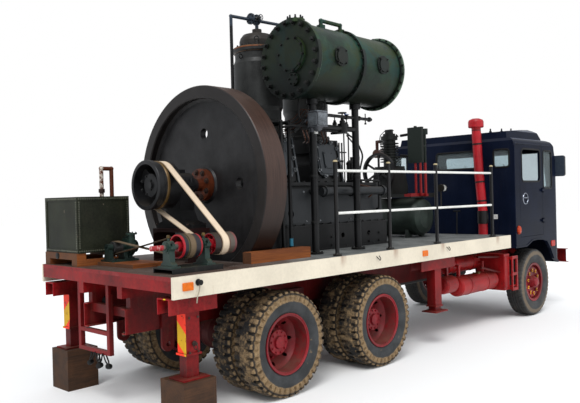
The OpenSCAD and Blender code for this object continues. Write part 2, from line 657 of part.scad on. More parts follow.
module cab_shell() color("midnightblue") put_down() {
  difference() {
    union() {
      cab_solid(0);
      hump(0);
      // Raised trim along the lower edge and round the wheel arch
      both_sides() along_y(-cab_y - 8, -cab_y + 10) polygon(concat([[cab_x, skirt_z]],
        [for (p = arch) [cab_x + p[0], p[1]]], [[cab_x + 1650, sill_z]],
        [for (i = [len(arch) - 1:-1:0]) [cab_x + arch[i][0] + (i > 4 ? 28 : 0), arch[i][1] + 28]],
            [[cab_x, skirt_z + 28]]));
    }
    intersection() {
      cab_solid(wall);
      box(cab_x, cab_front_x + 100, -cab_y, cab_y, floor_z, roof_z);
    }
    hump(wall);
    // Open underneath, between the side skirts and behind the front panel
    box(cab_x + wall, cab_front_x - 120, -cab_y + wall, cab_y - wall, 800, floor_z - wall);
    both_sides() box(cab_front_x - 200, cab_front_x + 50, -rail_y - 10, -rail_y + rail_w + 10, 780,
        rail_top + 10);
    door_cut(5);
    window_cuts();
    // Grille slots in the front panel
    for (z = [floor_z + 90:60:floor_z + 390]) box(cab_front_x - 100, cab_front_x + 50, -420, 420, z,
        z + 26);
  }
  for (x = [cab_x + 120, cab_x + 1320]) both_sides() box(x, x + 120, -rail_y, -rail_y + rail_w,
      rail_top, floor_z - wall);
  both_sides() for (z = hinge_zs) translate([hinge_x, -hinge_y, z]) {
    cylinder(r = hinge_r, h = 80, center = true);
    for (s = [-1, 1]) translate([0, 0, s*32.5]) {
      cylinder(r = hinge_r + 6, h = 15, center = true);
      translate([0, -hinge_r - 6, -7.5]) cube([60, hinge_r + 6 + hinge_out, 15]);
    }
  }
}
module door() {
  difference() {
    intersection() {
      difference() { cab_solid(0); cab_solid(wall); }
      box(door_x, door_x + door_w, -cab_y - 50, -cab_y + wall + 20, door_z0, door_z1);
    }
    along_y(-cab_y - 60, -cab_y + wall + 30) round_rect(door_x + 75, door_x + door_w - 75,
        floor_z + 925, light_top + 10, 70);
    // Recess behind the handle
    translate([door_x + 190, -cab_y, floor_z + 640]) scale([1, 0.16, 1]) sphere(r = 90);
  }
  for (z = hinge_zs) translate([hinge_x, -hinge_y, z]) difference() {
    union() {
      cylinder(r = hinge_r + 6, h = 40, center = true);
      translate([-60, -hinge_r - 6, -20]) cube([60, hinge_r + 6 + hinge_out, 40]);
    }
    cylinder(r = hinge_r + run_gap, h = 50, center = true);
  }
}
module door_right() color("midnightblue") put_down() door();
module door_left() color("midnightblue") put_down() mirror([0, 1, 0]) door();
module cab_glass() color([0.75, 0.82, 0.85, 0.4]) put_down() intersection() {
  difference() { cab_solid(15); cab_solid(21); }
  window_cuts();
}
// Seats on their pedestals, dash and steering wheel
seat_w = 500;
seat_z = floor_z + 250;
seat_ys = [-820, 320];
module cab_seats() color("dimgray") put_down() for (y = seat_ys) {
  box(cab_x + 340, cab_x + 840, y, y + seat_w, seat_z, seat_z + 140);
  along_y(y, y + seat_w) polygon([[cab_x + 220, seat_z], [cab_x + 340, seat_z], [cab_x + 340,
      seat_z + 140],
    [cab_x + 300, seat_z + 650], [cab_x + 200, seat_z + 650]]);
}
module cab_interior() color("dimgray") put_down() {
  for (y = seat_ys) box(cab_x + 400, cab_x + 780, y + 60, y + seat_w - 60, floor_z, seat_z);
  along_y(-cab_y + 210, cab_y - 210) polygon([[cab_front_x - 400, floor_z + 560],
    [cab_front_x - 110, floor_z + 560], [cab_front_x - 110, floor_z + 700], [cab_front_x - 300,
        floor_z + 760],
    [cab_front_x - 400, floor_z + 720]]);
  along_y(-120, 120) polygon([[cab_front_x - 360, floor_z], [cab_front_x - 200, floor_z],
      [cab_front_x - 200, floor_z + 570],
    [cab_front_x - 360, floor_z + 570]]);
  translate([cab_front_x - 500, -570, floor_z + 740]) rotate([0, -60, 0]) {
    rotate_extrude() translate([215, 0]) circle(r = 14, $fn = 24);
    for (a = [90, 210, 330]) rotate([0, 90, a]) cylinder(r = 9, h = 212);
    translate([0, 0, -190]) cylinder(r = 28, h = 210);
  }
}
// Mirrors stand before the windscreen's pillars on short arms that meet its slope
mirror_x = cab_front_x - 60;
mirror_w = 220;
mirror_y = cab_y - 95;
mirror_z = floor_z + 1015;
function pillar_x(z) = cab_front_x - 230*(z - floor_z - 585)/(roof_z - floor_z - 695);
module mirrors() color("black") put_down() both_sides() {
  translate([mirror_x, 0, 0]) along_x(0, 45) round_rect(-mirror_y - mirror_w, -mirror_y, mirror_z,
      mirror_z + 370, 40);
  for (z = [mirror_z + 60, mirror_z + 280]) along_y(-cab_y + 35, -cab_y + 60)
    polygon([[pillar_x(z), z], [mirror_x, z], [mirror_x, z + 20], [pillar_x(z + 20), z + 20]]);
}
// Headlamps stand on the front panel, marker lamps on the cab's rear corners
lamp_z = floor_z - 115;
module headlamps() color("white") put_down() both_sides() {
  translate([cab_front_x + 9.5, -cab_y + 300, lamp_z + 160]) rotate([0, 90, 0]) rotate_extrude() polygon([
    [0, -20], [105, -20], [110, 0], [110, 26], [96, 30], [60, 42], [0, 48]]);
  rod_y(-cab_y - 22, -cab_y - touch, cab_x + 120, floor_z + 135, 32);
}

// Intake stack between deck and cab, leaning outwards at its foot
stack_x = (deck_len + cab_x)/2;
stack_y = 655;       // at the bend half-way up
stack_foot_y = 705;
stack_top_y = 620;
stack_r = 75;
stack_bend_z = deck_z + 1000;
stack_foot_z = deck_z + 380;
stack_top = roof_z + 190;
module intake_stack() color("crimson") put_down() {
  difference() {
    union() {
      strut([stack_x, -stack_top_y, stack_top + 30], [stack_x, -stack_y, stack_bend_z], stack_r);
      strut([stack_x, -stack_y, stack_bend_z], [stack_x, -stack_foot_y, stack_foot_z], stack_r);
      rod_z(deck_z + 180, stack_foot_z, stack_x, -stack_foot_y, stack_r + 12);
      rod_z(deck_z - 120, deck_z + 180, stack_x, -stack_foot_y, stack_r);
      translate([stack_x, -stack_y, stack_bend_z]) sphere(r = stack_r*1.03);
      translate([stack_x, -stack_foot_y, stack_foot_z]) sphere(r = stack_r*1.05);
      translate([stack_x, -stack_top_y, stack_top])
        rotate_extrude() polygon([[0, 0], [118, 0], [125, 15], [125, 95], [112, 125], [60, 148], [0,
            152]]);
    }
    rod_z(deck_z - 130, deck_z + 100, stack_x, -stack_foot_y, stack_r - 10);
  }
  box(deck_len, stack_x - stack_r + 5, -stack_foot_y - 30, -stack_foot_y + 30, deck_z - 100, deck_z - 60);
}

// Guard rail on the right-hand edge; posts stand on base flanges and carry caps
rail_line = half_w - 90;
post_xs = [2370, 3400, 4500, deck_len - 425];
tube_zs = [post_h*0.445, post_h*0.89];
module guard_posts() color("black") put_down() for (x = post_xs) translate([x, -rail_line,
    deck_z]) rotate_extrude()
  polygon([[0, 0], [52, 0], [52, 14], [34, 20], [post_r, 34], [post_r, post_h - 26], [post_r + 4,
      post_h - 26],
    [post_r + 4, post_h - 12], [post_r - 6, post_h], [0, post_h]]);
module guard_rails() color("white") put_down() for (z = tube_zs)
  for (i = [0:len(post_xs) - 2]) rod_x(post_xs[i] + post_r + touch, post_xs[i + 1] - post_r - touch,
      -rail_line, deck_z + z, tube_r);

// Flywheel: rim, recessed web with four holes, and the hub
web_x = fly_x + 110;
web_hole_r = 65;
module flywheel() color("dimgray") put_down() translate([0, eng_y, crank_z]) rotate([0, 90,
    0]) difference() {
  rotate_extrude($fn = 96) polygon([[shaft_r + run_gap, web_x - 20], [200, web_x - 20], [220, web_x],
    [fly_r - fly_rim - 30, web_x], [fly_r - fly_rim, web_x - 30], [fly_r - fly_rim, fly_x + 12],
        [fly_r - fly_rim + 12, fly_x],
    [fly_r - 10, fly_x], [fly_r, fly_x + 10], [fly_r, fly_x + fly_w - 10], [fly_r - 10, fly_x + fly_w],
    [fly_r - fly_rim, fly_x + fly_w], [fly_r - fly_rim, web_x + web_t + 30], [fly_r - fly_rim - 30,
        web_x + web_t],
    [250, web_x + web_t], [230, web_x + web_t + 20], [230, fly_x + fly_w], [shaft_r + run_gap,
        fly_x + fly_w]]);
  for (a = [0:90:270]) rotate([0, 0, a]) translate([600, 0, fly_x - 10]) cylinder(r = web_hole_r,
      h = fly_w + 20);
}

// Crankshaft with its hub flange, and the belt pulley with one broad flat spoke across it
bed_x0 = fly_x + fly_w + 247;
pulley_x0 = belt_x - 195;
pulley_x1 = belt_x + 105;
module pulley_bar() intersection() {
  cylinder(r = crank_pulley_r - 20, h = 44);
  rotate([0, 0, 35]) translate([-75, -crank_pulley_r, 0]) cube([150, 2*crank_pulley_r, 44]);
}
module crankshaft() color("dimgray") put_down() translate([0, eng_y, crank_z]) rotate([0, 90, 0]) {
  rotate_extrude() polygon([[0, pulley_x0 + 50], [40, pulley_x0 + 50], [40, pulley_x0 + 70], [shaft_r,
      pulley_x0 + 70],
    [shaft_r, web_x - 90], [190, web_x - 90], [190, web_x - 20 - touch], [shaft_r, web_x - 20 - touch],
    [shaft_r, bed_x0 + 120], [0, bed_x0 + 120]]);
  rotate_extrude() polygon([[shaft_r - 1, pulley_x0 + 70], [125, pulley_x0 + 70], [135, pulley_x0 + 90],
    [135, pulley_x0 + 200], [shaft_r - 1, pulley_x0 + 200]]);
  rotate_extrude() polygon([[crank_pulley_r - 30, pulley_x0], [crank_pulley_r + 10, pulley_x0],
    [crank_pulley_r + 14, pulley_x0 + 6], [crank_pulley_r + 14, pulley_x0 + 60], [crank_pulley_r,
        pulley_x0 + 74],
    [crank_pulley_r, pulley_x0 + 110], [crank_pulley_r + 8, pulley_x0 + 120], [crank_pulley_r + 8,
        pulley_x0 + 140],
    [crank_pulley_r, pulley_x0 + 148], [crank_pulley_r, pulley_x1], [crank_pulley_r - 22, pulley_x1],
    [crank_pulley_r - 22, pulley_x0 + 20], [crank_pulley_r - 30, pulley_x0 + 12]]);
  translate([0, 0, pulley_x0 + 100]) pulley_bar();
}
module outboard_bearing() color("dimgray") put_down() difference() {
  union() {
    rod_x(960, 1200, eng_y, crank_z, 140);
    rod_x(950, 1210, eng_y, crank_z, 112);
    along_x(980, 1180) polygon([[eng_y - 330, 1790], [eng_y + 330, 1790], [eng_y + 330, 1830],
        [eng_y + 190, 1880],
      [eng_y + 130, 1990], [eng_y + 130, crank_z], [eng_y - 130, crank_z], [eng_y - 130, 1990],
          [eng_y - 190, 1880],
      [eng_y - 330, 1830]]);
    // Bearing cap with its studs and the oil box
    box(1000, 1160, eng_y - 165, eng_y + 165, crank_z - 12, crank_z + 30);
    for (s = [-1, 1], x = [1030, 1130]) rod_z(crank_z + 20, crank_z + 75, x, eng_y + s*150, 16);
    box(1030, 1130, eng_y - 40, eng_y + 40, crank_z + 120, crank_z + 175);
    along_x(930, 1230) for (s = [-1, 1]) translate([eng_y + s*330, deck_z]) mirror([s > 0 ? 1 : 0,
        0]) channel(80, 330, 14);
    box(930, 1230, eng_y - 330, eng_y + 330, 1750, 1790);
  }
  rod_x(900, 1300, eng_y, crank_z, shaft_r + run_gap);
}

// Engine bed and crankcase, with the lower doors, their hand holes and the ledge
bed_x1 = cyl_x + cyl_gap + 1110;
bed_top = deck_z + 330;
ledge_z = crank_z - 27;
case_y0 = 470;
case_y1 = 420;
function case_side(z) = eng_y - case_y0 + (case_y0 - case_y1)*(z - bed_top)/(ledge_z - bed_top);
cyl_xs = [cyl_x, cyl_x + cyl_gap];
module bed_side(z0, z1, out) polygon([[case_side(z0) + 10, z0], [case_side(z0) - out, z0],
    [case_side(z1) - out, z1],
  [case_side(z1) + 10, z1]]);
module engine_bed() color("dimgray") put_down() difference() {
  union() {
    box(bed_x0, bed_x1, eng_y - bed_half, eng_y + bed_half, deck_z, bed_top - 20);
    box(bed_x0 - 10, bed_x1 + 10, eng_y - bed_half - 12, eng_y + bed_half + 12, bed_top - 20, bed_top);
    box(bed_x0 - 10, bed_x1 + 10, eng_y - bed_half - 12, eng_y + bed_half + 12, deck_z, deck_z + 25);
    along_x(bed_x0 + 60, bed_x1 - 40) polygon([[eng_y - case_y0, bed_top], [eng_y + case_y0, bed_top],
      [eng_y + case_y1, ledge_z], [eng_y - case_y1, ledge_z]]);
    rod_x(bed_x0 - 20, bed_x0 + 120, eng_y, crank_z, 150);
    box(bed_x0, bed_x1 - 100, eng_y - bed_half + 20, eng_y + bed_half - 20, ledge_z, ledge_z + 40);
    for (x = cyl_xs) {
      along_x(x - 345, x + 345) bed_side(bed_top + 15, ledge_z - 40, 16);
      along_x(x - 325, x + 325) bed_side(bed_top + 35, ledge_z - 60, 24);
    }
    // Pipe along the crankcase under the ledge
    rod_x(cyl_x + 400, bed_x1 - 260, eng_y - 660, ledge_z - 80, 55);
    for (x = [cyl_x + 460, cyl_x + 1000, bed_x1 - 320]) {
      rod_x(x - 14, x + 14, eng_y - 660, ledge_z - 80, 72);
      rod_y(eng_y - 660, eng_y - 430, x, ledge_z - 80, 30);
    }
  }
  rod_x(bed_x0 - 30, bed_x0 + 140, eng_y, crank_z, shaft_r + run_gap);
  for (x = cyl_xs) rod_y(eng_y - 600, eng_y - 380, x + 40, bed_top + 150, 50);
  for (x = [bed_x0 + 330:560:bed_x1 - 200]) rod_y(eng_y - 600, eng_y - 420, x, deck_z + 170, 35);
}
// Crankcase frames with their leaning doors, clamp lugs and blank raised panels
frame_h = 570;
frame_y0 = 400;
frame_y1 = 300;
lean = atan2(frame_y0 - frame_y1, frame_h);
module on_frame(x, up) translate([x, eng_y - frame_y0 + up*tan(lean),
    ledge_z + 40 + up]) rotate([90 - lean, 0, 0]) children();
module crank_door() {
  linear_extrude(26) round_rect(-190, 190, -215, 215, 50);
  linear_extrude(36) round_rect(-165, 165, -190, 190, 40);
  linear_extrude(52) round_rect(-85, 85, -120, 100, 12);
  for (p = [[-205, -150], [-205, 0], [-205, 150], [205, -150], [205, 0], [205, 150], [-100, -228],
      [100, -228], [-100, 228], [100, 228]])
    translate(p) cylinder(r = 24, h = 34);
}
module engine_frames() color("slategray") put_down() {
  for (x = cyl_xs) {
    difference() {
      along_x(x - 300, x + 300) polygon([[eng_y - frame_y0, ledge_z + 40], [eng_y + frame_y0,
          ledge_z + 40],
        [eng_y + frame_y1, ledge_z + 40 + frame_h], [eng_y - frame_y1, ledge_z + 40 + frame_h]]);
      // Waist of the casting beside each door
      for (s = [-1, 1]) translate([x + s*330, 0, ledge_z + 340]) rotate([90, 0, 0]) cylinder(r = 90,
          h = 2000, center = true);
    }
    on_frame(x, 300) crank_door();
    for (s = [-1, 1]) along_x(x + s*265 - 14, x + s*265 + 14) polygon([[eng_y - frame_y0 - 25,
        ledge_z + 40],
      [eng_y - frame_y0 + 60, ledge_z + 40], [eng_y - frame_y1 + 40, ledge_z + 610],
          [eng_y - frame_y1 - 10, ledge_z + 610]]);
  }
}
frame_top = ledge_z + 40 + frame_h;
riser_xs = [-180, -50];
riser_h = 150;
boss_y = eng_y - cyl_r - 20;
link_y = eng_y - cyl_r - 15;
module cylinders() color("dimgray") put_down() for (x = cyl_xs) translate([x, eng_y, frame_top]) {
  h = cyl_top - frame_top;
  rotate_extrude() polygon([[0, 0], [cyl_r + 10, 0], [cyl_r + 10, 40], [cyl_r - 25, 62], [cyl_r - 25,
      330],
    [cyl_r - 5, 380], [cyl_r - 5, h - 200], [cyl_r - 25, h - 150], [cyl_r - 25, h - 70], [cyl_r - 8,
        h - 62],
    [cyl_r, h - 50], [cyl_r, h - 12], [cyl_r - 8, h], [225, h + 6], [225, h + 90], [212, h + 130],
        [180, h + 172],
    [90, h + 198], [0, h + 200]]);
  // Valve chest on top, lifting eyes on the flange, and bosses for the pipes
  cylinder(r = 60, h = h + 250);
  for (a = [45, 225]) rotate([0, 0, a]) translate([cyl_r - 50, 0, h]) cylinder(r = 18, h = 60);
  for (x = riser_xs) translate([x, -cyl_r + 170, riser_h]) rotate([90, 0, 0]) cylinder(r = 55, h = 190);
  translate([0, -cyl_r + 100, drum_z - 60 - frame_top]) rotate([90, 0, 0]) cylinder(r = 80, h = 115);
}

// Receiver drum: shell, bolted end with its two covers, middle flange, top flange and hand-hole covers
drum_x = cyl_x - 280;
module drum_cover(x, r, t) translate([x, -drum_y - drum_r + 6, drum_z + 15]) rotate([90, 0, 0]) {
  cylinder(r = r, h = 26);
  cylinder(r = r - 25, h = t);
}
module receiver_drum() color("darkslategray") put_down() {
  translate([drum_x, -drum_y, drum_z]) rotate([0, 90, 0]) rotate_extrude() polygon([[0, 0],
      [drum_r + 35, 0],
    [drum_r + 35, 50], [drum_r, 60], [drum_r, drum_len*0.5 - 25], [drum_r + 30, drum_len*0.5 - 25],
    [drum_r + 30, drum_len*0.5 + 25], [drum_r, drum_len*0.5 + 25], [drum_r, drum_len - 100],
        [drum_r + 20, drum_len - 100],
    [drum_r + 20, drum_len - 50], [drum_r*0.9, drum_len - 30], [drum_r*0.6, drum_len], [0,
        drum_len + 15]]);
  rod_x(drum_x - 34, drum_x, -drum_y - 60, drum_z + 40, 205);
  rod_x(drum_x - 44, drum_x, -drum_y - 60, drum_z + 40, 175);
  rod_x(drum_x - 30, drum_x, -drum_y - 80, drum_z - 245, 75);
  for (x = [drum_x + 416, drum_x + 1224]) drum_cover(x, 112, 40);
  // Necks to the cylinders
  for (x = cyl_xs) rod_y(-drum_y + drum_r - 60, link_y - touch, x, drum_z - 60, 60);
  rod_z(drum_z + drum_r - 20, drum_z + drum_r + 22, drum_x + 60, -drum_y - 60, 110);
  for (x = [drum_x + 470, drum_x + 827]) rod_z(drum_z + drum_r - 30, drum_z + drum_r + 18, x,
      -drum_y - 90, 52);
  pipe_run([[drum_x + 470, -drum_y - 90, drum_z + drum_r], [drum_x + 470, -drum_y - 90,
      drum_z + drum_r + 75],
    [drum_x + 827, -drum_y - 90, drum_z + drum_r + 75], [drum_x + 827, -drum_y - 90, drum_z + drum_r]],
        24);
}
// Straight pipe between two points, and a run of them with rounded corners
module strut(a, b, r) {
  v = b - a;
  translate(a) rotate([0, acos(v[2]/norm(v)), atan2(v[1], v[0])]) cylinder(r = r, h = norm(v), $fn = 24);
}
module pipe_run(pts, r) {
  for (i = [0:len(pts) - 2]) strut(pts[i], pts[i + 1], r);
  for (i = [1:len(pts) - 2]) translate(pts[i]) sphere(r = r*1.15, $fn = 24);
}
column_r = 45;
column_xs = [cyl_x + 100, cyl_x + 912];
drum_under = drum_z - drum_r - touch;
stop_z = frame_top + 200;
module engine_pipes() color("black") put_down() {
  for (x = column_xs) {
    rod_z(deck_z, drum_under, x, -drum_y, column_r);
    translate([x, -drum_y, deck_z]) rotate_extrude() polygon([[0, 0], [90, 0], [90, 20], [column_r,
        26], [0, 26]]);
    rod_z(drum_under - 60, drum_under, x, -drum_y, 70);
  }
  // Lubricator box with its tapered foot on the rear column
  translate([column_xs[0], -drum_y - 60, ledge_z + 680]) {
    translate([-95, -95, 0]) cube([190, 150, 180]);
    translate([0, -20, -50]) cylinder(r1 = 30, r2 = 70, h = 50);
  }
  pipe_run([[cyl_x - 50, -drum_y + 160, frame_top + 30], [column_xs[0], -drum_y, ledge_z + 850],
    [column_xs[1], -drum_y, ledge_z + 850], [cyl_x + cyl_gap + 380, -drum_y, ledge_z + 850]], 20);
  pipe_run([[column_xs[0], -drum_y, ledge_z + 700], [column_xs[1], -drum_y, ledge_z + 700]], 34);
  rod_z(ledge_z + 640, ledge_z + 760, (column_xs[0] + column_xs[1])/2 + 150, -drum_y, 62);
  // Two pipes up from the deck beside the flywheel, bent over into the cylinder
  for (x = riser_xs) pipe_run([[cyl_x + x, riser_y, deck_z], [cyl_x + x, riser_y, frame_top + riser_h],
    [cyl_x + x, boss_y - touch, frame_top + riser_h]], 24);
  // Air pipe over the cylinder heads, with its two stop valves
  pipe_run([[bed_x0 + 18, eng_y, stop_z], [bed_x0 + 18, eng_y, cyl_top + 349], [cyl_x + cyl_gap, eng_y,
      cyl_top + 395],
    [cyl_x + cyl_gap, eng_y, cyl_top + 250 + touch]], 20);
  strut([bed_x0 + 18, eng_y, stop_z], [cyl_x - cyl_r + 25 - touch, eng_y, stop_z], 20);
  translate([bed_x0 + 18, eng_y, stop_z]) sphere(r = 24);
  rod_z(cyl_top + 250 + touch, cyl_top + 370, cyl_x, eng_y, 22);
  for (x = [cyl_x - 100, cyl_x]) rod_x(x - 12, x + 12, eng_y, cyl_top + 372, 70);
}
riser_y = eng_y - bed_half - 60;

// Belt drive
counter_y = half_w - counter_inset;
counter_z = deck_z + counter_h;
belt_t = 6;
belt_gap = 0.5;
function on(c, r, a) = [c[0] + r*cos(a), c[1] + r*sin(a)];
module belt_ring(c, r) translate(c) difference() {
  circle(r = r + belt_t, $fn = 64);
  circle(r = r, $fn = 64);
}
// Open flat belt round two pulleys, drawn in the YZ plane; r0 and r1 are the belt's inner radii
module open_belt(c0, r0, c1, r1) {
  lie = atan2(c1[1] - c0[1], c1[0] - c0[0]);
  wrap = acos((r0 - r1)/norm(c1 - c0));
  e = 0.2;
  difference() {
    union() {
      belt_ring(c0, r0);
      belt_ring(c1, r1);
    }
    polygon([on(c0, r0 + e, lie + wrap), on(c1, r1 + e, lie + wrap), on(c1, r1 + e, lie - wrap), on(c0,
        r0 + e, lie - wrap)]);
  }
  for (s = [-1, 1]) polygon([on(c0, r0 + e, lie + s*wrap), on(c1, r1 + e, lie + s*wrap),
    on(c1, r1 + belt_t - e, lie + s*wrap), on(c0, r0 + belt_t - e, lie + s*wrap)]);
}
// Crossed flat belt: its strands meet between the pulleys, so the second pulley turns backwards
module crossed_belt(c0, r0, c1, r1) {
  lie = atan2(c1[1] - c0[1], c1[0] - c0[0]);
  wrap = acos((r0 + r1 + belt_t)/norm(c1 - c0));
  e = 0.2;
  u = (c1 - c0)/norm(c1 - c0);
  difference() {
    belt_ring(c0, r0);
    polygon([c0, on(c0, r0 + e, lie + wrap), c0 + u*(r0 + e)/cos(wrap), on(c0, r0 + e, lie - wrap)]);
  }
  difference() {
    belt_ring(c1, r1);
    polygon([c1, on(c1, r1 + e, lie + 180 + wrap), c1 - u*(r1 + e)/cos(wrap), on(c1, r1 + e,
        lie + 180 - wrap)]);
  }
  for (s = [-1, 1]) polygon([on(c0, r0 + e, lie + s*wrap), on(c1, r1 + belt_t - e, lie + 180 + s*wrap),
    on(c1, r1 + e, lie + 180 + s*wrap), on(c0, r0 + belt_t - e, lie + s*wrap)]);
}
module main_belt() color("antiquewhite") put_down() along_x(belt_x - belt_w/2, belt_x + belt_w/2)
  open_belt([eng_y, crank_z], crank_pulley_r + belt_gap, [-counter_y, counter_z], counter_r + belt_gap);
pump_x = belt_x - 410;
pump_z = deck_z + 190;
module pump_belt() color("peru") put_down() along_x(pump_x - 35, pump_x + 35)
  crossed_belt([pump_y, pump_z], pump_r + belt_gap, [-counter_y, counter_z], counter_r + 5 + belt_gap);
// Countershaft on two split bearings, which stand on a channel bolted to the deck
bearing_xs = [belt_x - 615, belt_x - 195];
module countershaft_stand() color("darkslategray") put_down() difference() {
  union() {
    along_x(belt_x - 670, belt_x - 60) translate([-counter_y - 130, deck_z]) polygon([[0, 0], [12, 0],
        [12, 38],
      [298, 38], [298, 0], [310, 0], [310, 50], [0, 50]]);
    for (x = bearing_xs) {
      box(x - 52, x + 52, -counter_y - 110, -counter_y + 110, deck_z + 50, deck_z + 68);
      along_x(x - 30, x + 30) polygon([[-counter_y - 92, deck_z + 68], [-counter_y + 92, deck_z + 68],
        [-counter_y + 88, deck_z + 88], [-counter_y + 56, deck_z + 110], [-counter_y + 50, counter_z],
        [-counter_y - 50, counter_z], [-counter_y - 56, deck_z + 110], [-counter_y - 88, deck_z + 88]]);
      rod_x(x - 35, x + 35, -counter_y, counter_z, 62);
      rod_x(x - 46, x + 46, -counter_y, counter_z, 44);
      box(x - 28, x + 28, -counter_y - 84, -counter_y + 84, counter_z - 10, counter_z + 12);
      for (s = [-1, 1]) rod_z(counter_z + 12, counter_z + 34, x, -counter_y + s*72, 10);
      rod_z(counter_z + 50, counter_z + 84, x, -counter_y, 12);
    }
  }
  rod_x(100, 860, -counter_y, counter_z, counter_shaft_r + run_gap);
}
// Flat-belt pulley with a rim, a boss and five arms
module spoked_pulley(x0, x1, r) {
  rotate_extrude() polygon([[r - 12, x0], [r, x0], [r, x1], [r - 12, x1]]);
  rotate_extrude() polygon([[counter_shaft_r - 1, x0 + 4], [48, x0 + 4], [48, x1 - 4],
      [counter_shaft_r - 1, x1 - 4]]);
  for (a = [0:72:288]) rotate([0, 0, a]) translate([30, -11, (x0 + x1)/2 - 9]) cube([r - 38, 22, 18]);
}
module solid_pulley(x0, x1, r) rotate_extrude() polygon([[counter_shaft_r - 1, x0 + 12], [46, x0 + 12],
    [46, x0 + 26],
  [r - 16, x0 + 26], [r - 16, x0], [r, x0], [r, x1], [r - 16, x1], [r - 16, x1 - 26], [46, x1 - 26],
      [46, x1 - 12], [counter_shaft_r - 1, x1 - 12]]);
module countershaft() color("brown") put_down() translate([0, -counter_y, counter_z]) rotate([0, 90, 0]) {
  translate([0, 0, belt_x - 815]) cylinder(r = counter_shaft_r, h = 960);
  spoked_pulley(pump_x - 112, pump_x + 115, counter_r + 5);
  spoked_pulley(belt_x - 128, belt_x - 55, counter_r);
  solid_pulley(belt_x - 48, belt_x + 48, counter_r);
  solid_pulley(belt_x + 56, belt_x + 145, counter_r);
}
// Centrifugal pump: volute with its spout, bearing foot and pulley
pump_shaft_r = 16;
module pump() color("darkslategray") put_down() difference() {
  union() {
    along_x(pump_x - 125, pump_x + 205) polygon([[pump_y - 130, deck_z + board_t], [pump_y + 120,
        deck_z + board_t],
      [pump_y + 105, deck_z + 62], [pump_y - 115, deck_z + 62]]);
    rod_x(pump_x + 110, pump_x + 185, pump_y, pump_z, 95);
    rod_x(pump_x + 122, pump_x + 173, pump_y - 14, pump_z + 6, 112);
    rod_x(pump_x + 185, pump_x + 240, pump_y, pump_z, 46);
    rod_x(pump_x + 228, pump_x + 244, pump_y, pump_z, 70);
    rod_z(pump_z, pump_z + 150, pump_x + 148, pump_y - 76, 40);
    rod_z(pump_z + 134, pump_z + 150, pump_x + 148, pump_y - 76, 62);
    rod_x(pump_x + 58, pump_x + 112, pump_y, pump_z, 44);
    rod_x(pump_x - 118, pump_x - 58, pump_y, pump_z, 44);
    for (x = [pump_x - 114, pump_x + 64, pump_x + 122])
      along_x(x, x + 46) polygon([[pump_y - 66, deck_z + 60], [pump_y + 66, deck_z + 60], [pump_y + 36,
          pump_z - 10], [pump_y - 36, pump_z - 10]]);
  }
  rod_x(pump_x - 200, pump_x + 135, pump_y, pump_z, pump_shaft_r + run_gap);
}
module pump_pulley() color("dimgray") put_down() translate([0, pump_y, pump_z]) rotate([0, 90, 0]) {
  translate([0, 0, pump_x - 105]) cylinder(r = pump_shaft_r, h = 235);
  translate([0, 0, pump_x - 50]) cylinder(r = pump_r, h = 100);
}

// Cooling tank: open box with angle-iron rim, corners and foot, and the return pipe over its edge
angle_w = 45;
module cooling_tank() color("darkslategray") put_down() {
  difference() {
    union() {
      box(tank_x0, tank_x1, tank_y0, tank_y1, tank_z, tank_z + tank_h);
      for (z = [tank_z, tank_z + tank_h - angle_w])
        box(tank_x0 - 6, tank_x1 + 6, tank_y0 - 6, tank_y1 + 6, z, z + angle_w);
      for (x = [tank_x0 - 6, tank_x1 + 6 - angle_w], y = [tank_y0 - 6, tank_y1 + 6 - angle_w])
        box(x, x + angle_w, y, y + angle_w, tank_z, tank_z + tank_h);
    }
    box(tank_x0 + plate_t, tank_x1 - plate_t, tank_y0 + plate_t, tank_y1 - plate_t, tank_z + plate_t,
        tank_z + tank_h + 10);
  }
  pipe_run([[tank_x1 - 87, tank_y1 - 300, tank_z + tank_h - 200], [tank_x1 - 87, tank_y1 - 300,
      tank_z + tank_h + 330],
    [tank_x1 + 46, tank_y1 - 300, tank_z + tank_h + 330], [tank_x1 + 46, tank_y1 - 300, deck_z]], 24);
  box(tank_x1, tank_x1 + 46, tank_y1 - 315, tank_y1 - 285, tank_z + tank_h - 60, tank_z + tank_h - 30);
  box(tank_x1 - 87, tank_x1, tank_y1 - 306, tank_y1 - 294, tank_z + tank_h - 60, tank_z + tank_h - 30);
}

// Auxiliary engine on its air receiver
aux_ahead = 180;     // the set stands this far ahead of the middle of its deck space
aux_x = (bed_x1 + deck_len)/2 + aux_ahead;
aux_z = deck_z + 330;
aux_r = 300;
aux_fly_x = aux_x - 420;
aux_fly_y = 300;
aux_fly_z = aux_z + 724;
aux_fly_r = 300;
aux_shaft_r = 25;
aux_top = aux_z + aux_r;
module aux_receiver() color("darkslategray") put_down() {
  translate([aux_x, 950, aux_z]) rotate([90, 0, 0]) rotate_extrude() polygon([[0, 0], [aux_r*0.6, 12],
      [aux_r*0.9, 50],
    [aux_r, 110], [aux_r, 1140], [aux_r*0.9, 1200], [aux_r*0.6, 1238], [0, 1250]]);
  for (y = [-100, 600]) difference() {
    along_y(y, y + 60) polygon([[aux_x - 240, deck_z], [aux_x + 240, deck_z], [aux_x + 210,
        aux_z - 90], [aux_x - 210, aux_z - 90]]);
    rod_y(y - 10, y + 70, aux_x, aux_z, aux_r - 5);
    along_y(y - 10, y + 70) polygon([[aux_x - 150, deck_z - 1], [aux_x + 150, deck_z - 1],
        [aux_x + 110, deck_z + 60], [aux_x - 110, deck_z + 60]]);
  }
  // Gauge on its bent pipe at the front end
  rod_x(aux_x + 200, aux_x + 600, -200, aux_z + 140, 12);
  rod_z(aux_z + 140, aux_z + 400, aux_x + 600, -200, 12);
  translate([aux_x + 600, -200, aux_z + 140]) sphere(r = 16);
  rod_x(aux_x + 570, aux_x + 610, -200, aux_z + 446, 62);
}
